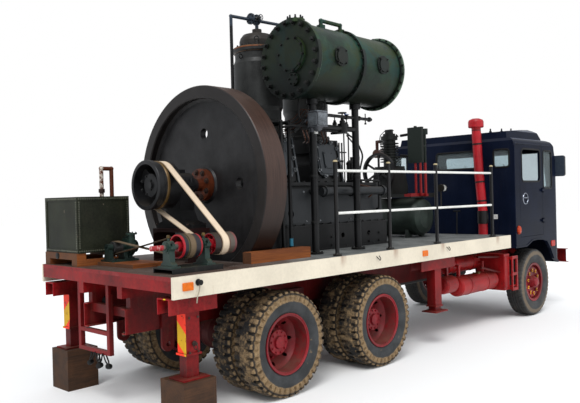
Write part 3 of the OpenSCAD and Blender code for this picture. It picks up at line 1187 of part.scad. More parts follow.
module aux_engine() color("dimgray") put_down() difference() {
  union() {
    // Channel frame over the receiver, with its four legs
    for (y = [-250, 690]) along_x(aux_x - 350, aux_x + 400) translate([y, aux_top]) channel(60, 70, 8);
    for (x = [aux_x - 350, aux_x - 60, aux_x + 340]) box(x, x + 60, -242, 742, aux_top + 8, aux_top + 62);
    // Crankcase, bearings, cylinder with cooling ribs and head
    along_y(110, 500) polygon([[aux_x - 340, aux_top + 62], [aux_x + 100, aux_top + 62], [aux_x + 100,
        aux_top + 200],
      [aux_x + 20, aux_fly_z + 90], [aux_x - 260, aux_fly_z + 90], [aux_x - 340, aux_top + 200]]);
    rod_x(aux_x - 370, aux_x + 120, aux_fly_y, aux_fly_z, 80);
    translate([aux_x - 120, aux_fly_y, aux_fly_z + 80]) {
      cylinder(r = 100, h = 540);
      for (i = [0:7]) translate([0, 0, 80 + i*42]) cylinder(r = 150, h = 14);
      translate([0, 0, 440]) cylinder(r = 135, h = 60);
      translate([-30, -60, 500]) cube([60, 120, 110]);
    }
    // Silencer and its pipe
    rod_x(aux_x - 60, aux_x + 330, 620, aux_fly_z + 320, 70);
    rod_y(aux_fly_y, 620, aux_x - 20, aux_fly_z + 520, 26);
    rod_z(aux_fly_z + 320, aux_fly_z + 540, aux_x - 20, 620, 26);
    // Flat header tank on two pipes over the frame, and the breather with its cap behind it
    box(aux_x - 130, aux_x - 70, -300, -150, aux_top + 30, aux_top + 70);
    for (y = [-180, -270]) rod_z(aux_top + 60, aux_top + 560, aux_x - 100, y, 20);
    along_x(aux_x - 130, aux_x - 70) polygon([[-310, aux_top + 550], [-70, aux_top + 550], [-60,
        aux_top + 600],
      [-60, aux_top + 1110], [-320, aux_top + 1110], [-320, aux_top + 600]]);
    rod_z(aux_top + 1100, aux_top + 1130, aux_x - 100, -190, 24);
    box(aux_x - 60, aux_x, -340, -240, aux_top + 20, aux_top + 60);
    rod_z(aux_top + 30, aux_top + 1060, aux_x + 60, -255, 24);
    rod_z(aux_top + 1000, aux_top + 1090, aux_x + 60, -255, 52);
    box(aux_x - 75, aux_x + 60, -270, -240, aux_top + 800, aux_top + 830);
  }
  rod_x(aux_x - 500, aux_x - 100, aux_fly_y, aux_fly_z, aux_shaft_r + run_gap);
}
module aux_flywheel() color("black") put_down() translate([0, aux_fly_y, aux_fly_z]) rotate([0, 90, 0]) {
  rotate_extrude() polygon([[aux_fly_r - 36, aux_fly_x - 34], [aux_fly_r, aux_fly_x - 34], [aux_fly_r,
      aux_fly_x + 34], [aux_fly_r - 36, aux_fly_x + 34]]);
  rotate_extrude() polygon([[0, aux_fly_x - 44], [aux_shaft_r, aux_fly_x - 44], [aux_shaft_r,
      aux_fly_x - 36], [55, aux_fly_x - 36],
    [55, aux_fly_x + 36], [aux_shaft_r, aux_fly_x + 36], [aux_shaft_r, aux_x - 130], [0, aux_x - 130]]);
  for (a = [0:60:300]) rotate([0, 0, a]) translate([45, -15, aux_fly_x - 10]) cube([aux_fly_r - 70, 30,
      20]);
}

chassis();
deck_frame();
deck_floor();
side_rails();
rear_ladder();
leg_housings();
leg_rear_right();
leg_rear_left();
leg_front_right();
leg_front_left();
timbers();
bogie_axles();
bogie_springs();
front_axle();
knuckle_right();
knuckle_left();
tyre_front_right();
tyre_front_left();
tyres_mid_right();
tyres_mid_left();
tyres_rear_right();
tyres_rear_left();
wheel_front_right();
wheel_front_left();
wheels_mid_right();
wheels_mid_left();
wheels_rear_right();
wheels_rear_left();
driveline();
air_tanks();
side_box();
cab_shell();
door_right();
door_left();
cab_glass();
cab_interior();
cab_seats();
mirrors();
headlamps();
intake_stack();
guard_posts();
guard_rails();
flywheel();
crankshaft();
outboard_bearing();
engine_bed();
engine_frames();
cylinders();
receiver_drum();
engine_pipes();
main_belt();
pump_belt();
countershaft_stand();
countershaft();
pump();
pump_pulley();
cooling_tank();
aux_engine();
aux_flywheel();
aux_receiver();
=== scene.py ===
"""Flatbed lorry with a stationary engine on its deck: surfaces, small fittings, camera, floor and light.

Places are given in the lorry's own metres: x from the deck's rear edge, y to its left, z from the ground.
"""

import math
import random

import bmesh
import bpy
from mathutils import Matrix, Vector


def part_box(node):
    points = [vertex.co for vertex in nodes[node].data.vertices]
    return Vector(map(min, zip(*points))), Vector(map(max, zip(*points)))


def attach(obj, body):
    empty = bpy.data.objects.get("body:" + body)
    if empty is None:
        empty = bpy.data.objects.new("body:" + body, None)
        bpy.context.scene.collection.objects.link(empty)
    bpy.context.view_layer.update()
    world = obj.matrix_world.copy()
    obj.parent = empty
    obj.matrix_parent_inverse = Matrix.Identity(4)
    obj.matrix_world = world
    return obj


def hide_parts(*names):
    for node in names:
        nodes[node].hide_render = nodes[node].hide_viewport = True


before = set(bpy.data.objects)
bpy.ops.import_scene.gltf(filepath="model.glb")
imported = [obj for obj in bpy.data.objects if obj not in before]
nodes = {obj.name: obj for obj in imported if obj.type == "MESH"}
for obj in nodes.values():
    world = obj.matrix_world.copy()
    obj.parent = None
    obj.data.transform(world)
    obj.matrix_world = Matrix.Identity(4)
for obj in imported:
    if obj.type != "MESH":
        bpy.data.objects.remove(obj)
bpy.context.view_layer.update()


def middle(node):
    """Middle of a node's box, in the shared frame."""
    low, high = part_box(node)
    return (low + high) / 2


# Driving dimensions of the lorry, read from the frame
DECK_LOW, DECK_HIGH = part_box("deck_floor")
REAR = DECK_LOW.x  # where the deck's rear edge is in the shared frame
DECK_Z = DECK_HIGH.z
DECK_END = DECK_HIGH.x - REAR
HALF_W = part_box("side_rails")[1].y
WHEEL_Z = middle("tyre_front_right").z
FRONT_X = middle("wheel_front_right").x - REAR
FRONT_Y = middle("tyre_front_left").y
BOGIE = {end: middle("wheels_%s_right" % end).x - REAR for end in ("mid", "rear")}
TWIN_Y = -middle("wheels_rear_right").y
TWIN_HALF_GAP = 0.17  # from the middle of a twin set to the middle of each of its tyres
CAB_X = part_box("cab_shell")[0].x - REAR
CAB_Y = HALF_W - 0.05  # half the cab's width
FLOOR_Z = DECK_Z - 0.075  # the cab's floor
SIDE_TOP = FLOOR_Z + 1.455  # the top of the cab's windows
STACK_X = (DECK_END + CAB_X) / 2
STACK_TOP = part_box("intake_stack")[1].z
POST_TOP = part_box("guard_posts")[1].z
POSTS = (2.37, 3.40, 4.50, DECK_END - 0.425)

# Driving dimensions of what stands on the deck, read from the frame
FLY = middle("flywheel")
FLY_X = FLY.x - REAR
FLY_R = (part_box("flywheel")[1].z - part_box("flywheel")[0].z) / 2
CRANK_Y, CRANK_Z = FLY.y, FLY.z
ENGINE_X = middle("engine_frames").x - REAR
CYLINDERS = (ENGINE_X - 0.435, ENGINE_X + 0.435)
FOOT_Z, CYLINDERS_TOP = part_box("cylinders")[0].z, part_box("cylinders")[1].z
HEAD_Z = CYLINDERS_TOP - 0.25  # where the studs of the cylinder heads stand
LEDGE_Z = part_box("engine_frames")[0].z  # the top of the ledge that the frames stand on
DOOR_LEAN = math.atan2(0.10, 0.57)  # how far the crankcase doors lean back, in radians
DRUM_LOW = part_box("receiver_drum")[0]
DRUM_X = DRUM_LOW.x - REAR + 0.044  # the rear face of its end flange, behind which the covers stand
DRUM_Z = DRUM_LOW.z + 0.465
COLUMN_Y = DRUM_Y = -0.76
COLUMNS = (2.45, 3.262)
TANK_LOW, TANK_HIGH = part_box("cooling_tank")
TANK_BASE, TANK_TOP = DECK_Z + 0.14, DECK_Z + 0.75
TANK_LENGTH = 0.642  # without the return pipe in front of it
COUNTER = middle("countershaft")
BELT_X = middle("main_belt").x - REAR
BELT_HALF = (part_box("main_belt")[1].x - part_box("main_belt")[0].x) / 2
PUMP_BELT_X = middle("pump_belt").x - REAR
PUMP_Y = middle("pump_pulley").y
AUX_X = middle("aux_flywheel").x - REAR + 0.42

SIDES = (("right", -1), ("left", 1))
UP, BACK, AHEAD, LEFT, RIGHT = (0, 0, 1), (-1, 0, 0), (1, 0, 0), (0, 1, 0), (0, -1, 0)


def at(x, y, z):
    """A point in the lorry's own metres, turned into the shared frame."""
    return Vector((x + REAR, y, z))


def route(*points):
    """The points of a pipe, rod or hook, each in the lorry's own metres."""
    return [at(*point) for point in points]


def rgb(colour):
    """A colour as it is seen on screen, turned into linear light."""
    return tuple(c / 12.92 if c <= 0.04045 else ((c + 0.055) / 1.055) ** 2.4 for c in colour) + (1.0,)


# Shader maths
def feed(tree, socket, value):
    if isinstance(value, Val):
        tree.links.new(value.out, socket)
    else:
        socket.default_value = value


def node(tree, kind, settings, sockets):
    """A new node of a tree: its settings first, then values or links by the name or number of the socket."""
    made = tree.nodes.new(kind)
    for name, value in settings.items():
        setattr(made, name, value)
    for name, value in sockets.items():
        feed(tree, made.inputs[name], value)
    return made


class Val:
    """One output of a shader node. Arithmetic on it adds maths nodes to the same tree."""

    def __init__(self, tree, out):
        self.tree, self.out = tree, out

    def maths(self, operation, *others):
        made = node(self.tree, "ShaderNodeMath", {"operation": operation}, dict(enumerate((self, *others))))
        return Val(self.tree, made.outputs[0])

    def __add__(self, other):
        return self.maths("ADD", other)

    def __sub__(self, other):
        return self.maths("SUBTRACT", other)

    def __mul__(self, other):
        return self.maths("MULTIPLY", other)

    def __neg__(self):
        return self.maths("MULTIPLY", -1.0)

    __radd__, __rmul__ = __add__, __mul__

    def __rsub__(self, other):
        return -self + other

    def either(self, other):
        return self.maths("MAXIMUM", other)

    def magnitude(self):
        return self.maths("ABSOLUTE")

    def saw(self):
        return self.maths("FRACT")

    def wave(self):
        return self.maths("SINE")

    def rise(self, low, high):
        """0 below low, 1 above high, smooth between; falls instead where low is above high."""
        ends = (low, high, 0.0, 1.0) if low < high else (high, low, 1.0, 0.0)
        sockets = dict(zip(("From Min", "From Max", "To Min", "To Max"), ends), Value=self)
        made = node(self.tree, "ShaderNodeMapRange", {"interpolation_type": "SMOOTHSTEP"}, sockets)
        return Val(self.tree, made.outputs["Result"])

    def between(self, low, high, soft=0.002):
        return self.rise(low - soft, low + soft) * self.rise(high + soft, high - soft)


class Finish:
    """A procedural material on Object coordinates, with one Principled shader."""

    def __init__(self, name, **constants):
        self.mat = bpy.data.materials.new(name)
        self.mat.use_nodes = True
        self.tree = self.mat.node_tree
        self.shader = self.tree.nodes["Principled BSDF"]
        for key, value in constants.items():
            self.shader.inputs[key.replace("_", " ")].default_value = value
        self.place = self.add("ShaderNodeTexCoord", {}, {}, "Object")
        self.x, self.y, self.z = self.split(self.place)
        self.x = self.x - REAR
        self.out_x, self.out_y, self.up = self.split(self.add("ShaderNodeNewGeometry", {}, {}, "Normal"))

    def add(self, kind, settings, sockets, output):
        return Val(self.tree, node(self.tree, kind, settings, sockets).outputs[output])

    def split(self, vector):
        made = node(self.tree, "ShaderNodeSeparateXYZ", {}, {"Vector": vector})
        return [Val(self.tree, made.outputs[axis]) for axis in "XYZ"]

    def noise(self, scale, detail=4.0, rough=0.55, stretch=(1, 1, 1), swirl=0.0):
        place = self.add("ShaderNodeMapping", {}, {"Vector": self.place, "Scale": stretch}, "Vector")
        sockets = {"Vector": place, "Scale": scale, "Detail": detail, "Roughness": rough, "Distortion": swirl}
        return self.add("ShaderNodeTexNoise", {}, sockets, "Fac")

    def radius(self, axis, centre):
        """Distance from a shaft along "x" or "y" through centre, in the lorry's own metres."""
        first = self.y - centre[1] if axis == "x" else self.x - centre[0]
        second = self.z - centre[2]
        return (first * first + second * second).maths("SQRT")

    def mix(self, first, second, share):
        """Two colours or colour outputs, mixed; share is how much of the second one shows."""
        factor, colour_a, colour_b, result = 0, 6, 7, 2
        ends = [value if isinstance(value, Val) else rgb(value) for value in (first, second)]
        sockets = {factor: share, colour_a: ends[0], colour_b: ends[1]}
        return self.add("ShaderNodeMix", {"data_type": "RGBA"}, sockets, result)

    def bump(self, height, strength, depth):
        sockets = {"Height": height, "Strength": strength, "Distance": depth}
        normal = self.add("ShaderNodeBump", {}, sockets, "Normal")
        feed(self.tree, self.shader.inputs["Normal"], normal)

    def shade(self, colour, rough):
        """Feeds what varies over the surface to the shader, and gives the material."""
        feed(self.tree, self.shader.inputs["Base Color"], colour)
        feed(self.tree, self.shader.inputs["Roughness"], rough)
        return self.mat


def tinted(colour, factor, lift=0.0):
    """A colour made darker or paler, never past white."""
    return tuple(min(1.0, c * factor + lift) for c in colour)


def rear_face(f):
    """Mask of what faces the lorry's rear."""
    return f.out_x.rise(-0.8, -0.95)


# Finishes that more than one sub-part wears
def paint(name, colour, bare=(0.20, 0.11, 0.07), dust=(0.42, 0.37, 0.30), wear=0.3, dirt=0.3, gloss=0.4,
          tone=0.12, extra=None, **constants):
    """Old paint: patchy tone, chips down to bare metal, rain streaks, and dust on what faces up."""
    f = Finish(name, **{"Specular_IOR_Level": 0.3, **constants})
    clouds = f.noise(1.7, 5, 0.6)
    grain = f.noise(38, 6, 0.65)
    patches = (clouds * 0.65 + grain * 0.35).rise(0.32, 0.68)
    body = f.mix(tinted(colour, 1 - 2.2 * tone), tinted(colour, 1 + tone, 0.02), patches)
    if extra:
        body = extra(f, body)
    chips = (f.noise(14, 8, 0.7) * 0.55 + grain * 0.45).rise(0.70 - 0.16 * wear, 0.73 - 0.15 * wear)
    streaks = f.noise(7, 5, 0.6, stretch=(3, 3, 0.25)).rise(0.5, 0.8)
    settled = f.up.rise(0.3, 0.95) * f.noise(5, 6, 0.7).rise(0.25, 0.75)
    body = f.mix(body, dust, (streaks * 0.45 + settled) * dirt)
    body = f.mix(body, bare, chips * min(1.0, wear * 2.2))
    f.bump(grain * 0.6 - chips * 0.8 * wear, strength=0.18, depth=0.003)
    return f.shade(body, (grain - 0.5) * 0.35 + chips * 0.3 + (streaks + settled) * (0.35 * dirt) + gloss)


def iron(name, colour, sheen=0.45, rust=0.2, oil=0.5, extra=None, **constants):
    """Painted or oily cast iron: sandy skin, oil film that runs down, and some rust."""
    f = Finish(name, **{"Metallic": 0.3, "Specular_IOR_Level": 0.35, **constants})
    skin = f.noise(85, 5, 0.6)
    clouds = f.noise(3.2, 6, 0.65)
    patches = (clouds * 0.7 + skin * 0.3).rise(0.3, 0.7)
    body = f.mix(tinted(colour, 0.55), tinted(colour, 1.35, 0.015), patches)
    if extra:
        body = extra(f, body)
    rusty = f.noise(6, 8, 0.75).rise(0.66 - 0.2 * rust, 0.80 - 0.16 * rust)
    body = f.mix(body, (0.26, 0.12, 0.06), rusty * min(1.0, rust * 1.6))
    runs = f.noise(5, 5, 0.6, stretch=(4, 4, 0.3)).rise(0.48, 0.72)
    body = f.mix(body, (0.03, 0.028, 0.025), runs * 0.5 * oil)
    dusty = f.up.rise(0.5, 1.0) * clouds.rise(0.3, 0.7)
    body = f.mix(body, (0.30, 0.27, 0.23), dusty * 0.35)
    f.bump(skin + clouds * 0.6 + rusty * 0.4, strength=0.3, depth=0.003)
    return f.shade(body, sheen + (skin - 0.5) * 0.25 + rusty * 0.35 + dusty * 0.25 - runs * 0.18 * oil)


def lens(name, colour):
    """Moulded lamp or reflector plastic with fine ribs."""
    f = Finish(name, Coat_Weight=0.1, Coat_Roughness=0.05, Specular_IOR_Level=0.2)
    dull = f.noise(40, 4)
    f.bump(((f.x + f.z) * 900.0).wave(), strength=0.4, depth=0.001)
    return f.shade(f.mix(colour, tinted(colour, 0.7), dull), dull * 0.15 + 0.12)


# Finishes that belong to one sub-part
def chequer_plate():
    """Deck plate: crossed lozenges in relief, grey in front, rust-brown to the rear, red on the rear edge."""
    f = Finish("chequer plate", Metallic=0.25)
    pitch = 24.0
    lean, rise = (f.x + f.y) * pitch, (f.x - f.y) * pitch

    def lozenges(narrow, wide):
        across, along = (narrow.saw() - 0.5).magnitude(), (wide.saw() - 0.5).magnitude()
        return across.rise(0.16, 0.08) * along.rise(0.42, 0.34)

    relief = lozenges(lean, rise).either(lozenges(rise + 0.5, lean + 0.5))
    grime = f.noise(3.2, 7, 0.65)
    grey = f.mix((0.33, 0.34, 0.34), (0.52, 0.53, 0.52), grime.rise(0.3, 0.75))
    brown = f.mix((0.23, 0.17, 0.14), (0.36, 0.27, 0.22), grime)
    body = f.mix(grey, brown, (f.x + grime * 0.9).rise(2.6, 1.4))
    body = f.mix(body, (0.60, 0.60, 0.58), relief * 0.35 * f.noise(9, 4).rise(0.4, 0.7))
    oil = f.noise(1.1, 5, 0.7, swirl=0.8).rise(0.56, 0.7)
    body = f.mix(body, (0.10, 0.10, 0.10), oil * 0.45)
    edge = f.mix((0.36, 0.05, 0.055), (0.50, 0.065, 0.075), f.noise(14, 6, 0.7).rise(0.35, 0.5))
    body = f.mix(body, edge, rear_face(f))
    f.bump(relief + grime * 0.3, strength=0.5, depth=0.003)
    return f.shade(body, 0.62 - oil * 0.3 + (grime - 0.5) * 0.3)


def timber():
    """Sawn timber: straight grain along the lorry, orange-brown on the deck and dull brown on the ground."""
    f = Finish("weathered timber", Specular_IOR_Level=0.25)
    rings = (f.noise(1.6, 2, 0.4, stretch=(0.25, 2, 2)) * 22).wave()
    fibres = f.noise(60, 6, 0.7, stretch=(0.05, 1, 1))
    grain = rings * 0.08 + fibres * 0.92
    body = f.mix((0.40, 0.21, 0.10), (0.58, 0.33, 0.15), grain.rise(0.25, 0.75))
    body = f.mix(body, f.mix((0.24, 0.16, 0.11), (0.37, 0.25, 0.17), grain), rear_face(f) * 0.85)
    dull = (grain * 0.6 + f.noise(7, 6, 0.7) * 0.4).rise(0.3, 0.7)
    body = f.mix(body, f.mix((0.17, 0.115, 0.08), (0.31, 0.205, 0.13), dull), f.z.rise(0.62, 0.52))
    cracks = f.noise(9, 8, 0.8, stretch=(0.12, 1, 1)).rise(0.64, 0.68)
    body = f.mix(body, (0.12, 0.075, 0.05), cracks * 0.6)
    body = f.mix(body, (0.20, 0.12, 0.08), f.noise(2.5, 5, 0.6).rise(0.55, 0.8) * 0.4)
    f.bump(grain - cracks, strength=0.4, depth=0.003)
    return f.shade(body, 0.72 + (grain - 0.5) * 0.25)


def front_tyre_rubber():
    """Blue-grey sidewall with ribs near the bead, dusty shoulder, black tread."""
    f = Finish("front tread rubber")
    out = f.radius("y", (FRONT_X, FRONT_Y, WHEEL_Z))
    tread_r = WHEEL_Z
    clods = f.noise(11, 8, 0.7)
    fine = f.noise(60, 6, 0.7)
    body = f.mix((0.135, 0.142, 0.148), (0.225, 0.235, 0.243), f.noise(5, 5, 0.6).rise(0.3, 0.75))
    shoulder = (out + (clods - 0.5) * 0.04).between(tread_r * 0.82, tread_r * 0.93, 0.012)
    body = f.mix(body, f.mix((0.34, 0.30, 0.25), (0.52, 0.45, 0.36), fine), shoulder * 0.75)
    tread = (out + (clods - 0.5) * 0.03).rise(tread_r * 0.955, tread_r * 0.975)
    body = f.mix(body, (0.10, 0.10, 0.10), tread * 0.85)
    body = f.mix(body, (0.42, 0.39, 0.34), f.noise(3.5, 6, 0.7).rise(0.35, 0.8) * 0.22)
    ribs = (out * 95.0).wave() * out.between(tread_r * 0.60, tread_r * 0.70, 0.004)
    f.bump(fine * 0.5 + ribs * 0.4, strength=0.55, depth=0.005)
    return f.shade(body, 0.82 + (fine - 0.5) * 0.2)


def muddy_rubber():
    """Tan caked mud on tread and shoulder, with painted shade in the gaps between the lugs; washed blue-grey
    sidewall.
    """
    f = Finish("muddy tyre")
    first, second = (f.radius("y", (BOGIE[end], 0, WHEEL_Z)) for end in ("rear", "mid"))
    out = first.maths("MINIMUM", second)
    tread_r = WHEEL_Z
    clods, fine = f.noise(13, 8, 0.7), f.noise(70, 6, 0.7)
    wall = f.mix((0.14, 0.147, 0.152), (0.23, 0.238, 0.245), f.noise(5, 6, 0.6).rise(0.3, 0.75))
    mud = f.mix((0.33, 0.26, 0.18), (0.60, 0.50, 0.36), (fine * 0.6 + clods * 0.4).rise(0.3, 0.7))
    # Painted shade at the bottom of the gaps between the lugs.
    shaded_gaps = (out + (fine - 0.5) * 0.012).rise(tread_r * 0.962, tread_r * 0.945)
    mud = f.mix(mud, (0.15, 0.125, 0.10), shaded_gaps * out.rise(tread_r * 0.90, tread_r * 0.93))
    caked = (out + (clods - 0.5) * 0.035).rise(tread_r * 0.785, tread_r * 0.81)
    body = f.mix(wall, mud, caked.either(clods.rise(0.62, 0.72) * 0.5))
    tread = f.out_y.magnitude().rise(0.45, 0.2) * out.rise(tread_r * 0.85, tread_r * 0.88)
    worn = (clods * 0.5 + f.noise(4, 5, 0.7) * 0.5).rise(0.62, 0.45)
    body = f.mix(body, (0.075, 0.07, 0.068), tread * worn)
    f.bump(fine * 0.6 + clods * caked, strength=0.6, depth=0.006)
    return f.shade(body, 0.88 + (fine - 0.5) * 0.2)


def glass():
    f = Finish("window glass", Transmission_Weight=0.92, IOR=1.08)
    dust = f.noise(3, 6, 0.7).rise(0.45, 0.9)
    return f.shade(f.mix((0.86, 0.91, 0.92), (0.70, 0.72, 0.72), dust * 0.5), dust * 0.10 + 0.02)


def belt_web(name, pale, dark, middle_x, half_width):
    """Woven belt: fine cross threads, worn darker along the edges and at patches."""
    f = Finish(name)
    threads = f.noise(30, 3, 0.5, stretch=(8, 1, 1)) + (f.x * 900.0).wave() * 0.2
    worn = f.noise(4, 6, 0.7)
    edge = (f.x - middle_x).magnitude().rise(half_width * 0.62, half_width)
    body = f.mix(pale, dark, (worn * 0.6 + threads * 0.25).rise(0.35, 0.85))
    body = f.mix(body, dark, edge * 0.7)
    f.bump(threads, strength=0.3, depth=0.001)
    return f.shade(body, 0.8 + (worn - 0.5) * 0.2)


def seat_cloth():
    """Dark woven cloth of the seats, worn paler in places."""
    f = Finish("seat cloth", Specular_IOR_Level=0.2)
    weave = f.noise(120, 3, 0.5, stretch=(1, 3, 3))
    worn = f.noise(5, 5, 0.6)
    f.bump(weave, strength=0.4, depth=0.002)
    return f.shade(f.mix((0.13, 0.13, 0.14), (0.26, 0.25, 0.25), worn * 0.6 + weave * 0.4), worn * 0.15 + 0.8)


# Masks and tones that belong to one sub-part
# The underframe's red, made darker as painted shade of the deck that hangs over it.
DECK_SHADED_RED = (0.47, 0.062, 0.070)
FADED_RED = (0.56, 0.075, 0.085)
WHEEL_RED = (0.46, 0.052, 0.088)
NAVY = (0.045, 0.070, 0.135)
BLACK = (0.055, 0.055, 0.06)


def painted_deck_shade(f, body):
    """Painted shade of the deck: dark dull red, in patches, on what hangs in the deck's shadow, away from the
    rear face.
    """
    # painted shade: darker red below the deck and inside the side rails
    inner = f.y.magnitude().rise(1.20, 1.05) * f.z.rise(1.22, 1.12) * f.x.between(0.06, 7.2, 0.03)
    return f.mix(body, (0.17, 0.05, 0.045), inner * (f.noise(2.4, 6, 0.7).rise(0.2, 0.7) * 0.4 + 0.35))


def hazard_stripes(f, body):
    """Worn yellow and bright red bars across the rear face of the rear leg housings."""
    bars = ((f.z + f.y.magnitude() * 0.9) * 2.5).saw().between(0.25, 0.76, 0.015)
    face = rear_face(f) * f.x.rise(0.23, 0.22) * f.z.between(0.60, 1.06)
    sound = f.noise(16, 6, 0.7).rise(0.34, 0.42) * face
    # Painted shade of the deck on the housings, and plain red on their rear end.
    body = f.mix(painted_deck_shade(f, body), (0.56, 0.06, 0.09), f.x.rise(0.02, 0.01))
    strip = f.x.rise(0.01, 0.005) * f.y.between(-1.126, -1.092) * f.z.between(1.195, 1.291)
    body = f.mix(body, (0.86, 0.74, 0.10), strip)
    return f.mix(body, f.mix((0.95, 0.22, 0.11), (0.80, 0.62, 0.06), bars), sound)


def dish_dust(f, body):
    """Brown dust inside the deep dishes of the rear wheels."""
    inside = f.out_y.magnitude().rise(0.75, 0.45) * f.y.magnitude().between(0.90, 1.172)
    share = inside * f.noise(9, 6, 0.7).rise(0.3, 0.6) * f.x.rise(5.0, 4.9)
    return f.mix(body, (0.36, 0.20, 0.185), share * 0.75)


def roof_sky_reflection_and_road_dust(f, body):
    """Painted reflection of the pale sky on the roof, and road dust low on the cab."""
    # Painted reflection of the sky: pale blue-grey on what faces up high on the cab.
    body = f.mix(body, (0.34, 0.37, 0.46), f.up.rise(0.75, 0.98) * f.z.rise(2.4, 2.6) * 0.75)
    return f.mix(body, (0.15, 0.15, 0.17), (f.z + f.noise(4, 5) * 0.3).rise(1.45, 1.05) * 0.3)


def cream_runs(f, body):
    """Brown runs down the cream side rails, most of them under the posts."""
    runs = f.noise(9, 6, 0.7, stretch=(2.5, 1, 0.25)).rise(0.60, 0.74)
    body = f.mix(body, (0.60, 0.45, 0.28), runs * 0.25)
    for x in POSTS:
        width = (f.x - x + (f.noise(6, 3) - 0.5) * 0.05).between(-0.05, 0.04, 0.03)
        drip = width * f.noise(30, 5, stretch=(1, 1, 0.1)) * f.z.rise(DECK_Z - 0.16, DECK_Z)
        body = f.mix(body, (0.50, 0.30, 0.16), drip * 0.9)
    return body


def flywheel_tones(f, body):
    """The rim's tread is brown and polished by hand, and darker towards the bottom as painted shade; the
    faces are dark grey.
    """
    out = f.radius("x", (0, CRANK_Y, CRANK_Z))
    lines = f.noise(3, 5, 0.6, stretch=(40, 1, 1)).rise(0.3, 0.75)
    brown = f.mix((0.23, 0.165, 0.14), (0.32, 0.235, 0.20), lines)
    # Painted shade: the tread's brown darkens towards the bottom.
    brown = f.mix(brown, (0.09, 0.055, 0.045), f.z.rise(2.9, 1.5) * 0.8)
    body = f.mix(body, (0.13, 0.11, 0.10), out.between(FLY_R - 0.15, FLY_R - 0.006) * 0.6)
    return f.mix(body, brown, out.rise(FLY_R - 0.006, FLY_R - 0.001))


def crankshaft_tones(f, body):
    """Rusty hub flange and a brown worn band on the belt pulley."""
    rust = f.mix((0.24, 0.10, 0.05), (0.45, 0.22, 0.12), f.noise(20, 6))
    body = f.mix(body, rust, (f.x - FLY_X).between(-0.20, -0.05))
    band = f.x.between(0.73, 0.765) * f.radius("x", (0, CRANK_Y, CRANK_Z)).rise(0.24, 0.25)
    return f.mix(body, (0.40, 0.30, 0.14), band * 0.8)


def bearing_tones(f, body):
    """Red-brown angle irons under the outboard bearing."""
    irons = f.mix((0.11, 0.05, 0.045), (0.22, 0.08, 0.06), f.noise(9, 6))
    return f.mix(body, irons, f.z.rise(1.80, 1.79) * 0.9)


def frame_tones(f, body):
    """The leaning crankcase doors are a lighter grey than the frames."""
    high = f.z - (CRANK_Z + 0.013)
    out = (CRANK_Y - 0.4 - f.y) * math.cos(DOOR_LEAN) + high * math.sin(DOOR_LEAN)
    return f.mix(body, (0.235, 0.25, 0.265), out.rise(0.004, 0.008))


def bed_tones(f, body):
    """Grey lower doors over a black bed."""
    door = (CRANK_Y - 0.41 - f.y).rise(0.0, 0.03) * f.z.between(DECK_Z + 0.34, CRANK_Z - 0.06)
    body = f.mix(body, (0.165, 0.175, 0.185), door * 0.8)
    return f.mix(body, (0.035, 0.035, 0.04), f.z.rise(DECK_Z + 0.33, DECK_Z + 0.32) * 0.8)


def cylinder_tones(f, body):
    """Heat-browned heads, pale smears, and a line of rust on the ring flange."""
    down = CYLINDERS_TOP - f.z
    body = f.mix(body, (0.17, 0.145, 0.12), down.rise(0.30, 0.15) * 0.6)
    smear = f.noise(8, 7, 0.7, stretch=(1, 1, 0.5)).rise(0.6, 0.72) * down.between(0.06, 0.23, 0.02)
    body = f.mix(body, (0.45, 0.42, 0.38), smear * 0.5)
    line = down.between(0.258, 0.268, 0.003) * f.noise(15, 5).rise(0.4, 0.5)
    return f.mix(body, (0.50, 0.27, 0.12), line)


def drum_tones(f, body):
    """Olive and blue-green patches with rusty runs; painted shade under the drum; dark covers and rear end.
    """
    body = f.mix(body, (0.19, 0.235, 0.11), f.noise(2.4, 7, 0.7).rise(0.46, 0.54) * 0.68)
    body = f.mix(body, (0.10, 0.265, 0.25), f.noise(1.9, 6, 0.7, swirl=0.5).rise(0.52, 0.60) * 0.55)
    runs = f.noise(5, 6, 0.7, stretch=(3, 1, 0.3)).rise(0.58, 0.74)
    body = f.mix(body, (0.30, 0.34, 0.27), runs * 0.35)
    high = f.z - DRUM_Z
    outside = f.radius("x", (0, DRUM_Y, DRUM_Z)).rise(0.428, 0.434)
    cover = outside * (f.y - DRUM_Y).rise(-0.39, -0.41) * high.magnitude().rise(0.17, 0.15)
    body = f.mix(body, (0.135, 0.14, 0.14), cover * 0.85)
    # Painted shade: dark under the drum's axis.
    body = f.mix(body, (0.035, 0.038, 0.034), high.rise(0.05, -0.36) * 0.85)
    return f.mix(body, (0.07, 0.085, 0.078), rear_face(f) * 0.75)


def tank_tones(f, body):
    """Scraped paint on the tank, and its rusty return pipe with worn plaster."""
    scrape = f.noise(5.5, 7, 0.75, stretch=(1, 1, 0.6), swirl=0.6).rise(0.665, 0.68)
    body = f.mix(body, (0.55, 0.48, 0.42), scrape * 0.8)
    pipe_x = TANK_HIGH.x - REAR - 0.046
    pipe = f.z.rise(TANK_TOP + 0.004, TANK_TOP + 0.006).either(f.x.rise(pipe_x, pipe_x + 0.001))
    rust = f.mix((0.22, 0.10, 0.06), (0.40, 0.21, 0.13), f.noise(25, 6))
    plaster = f.noise(30, 5, 0.7).rise(0.45, 0.55) * f.x.rise(0.62, 0.60)
    return f.mix(body, f.mix(rust, (0.82, 0.79, 0.74), plaster * 0.9), pipe)


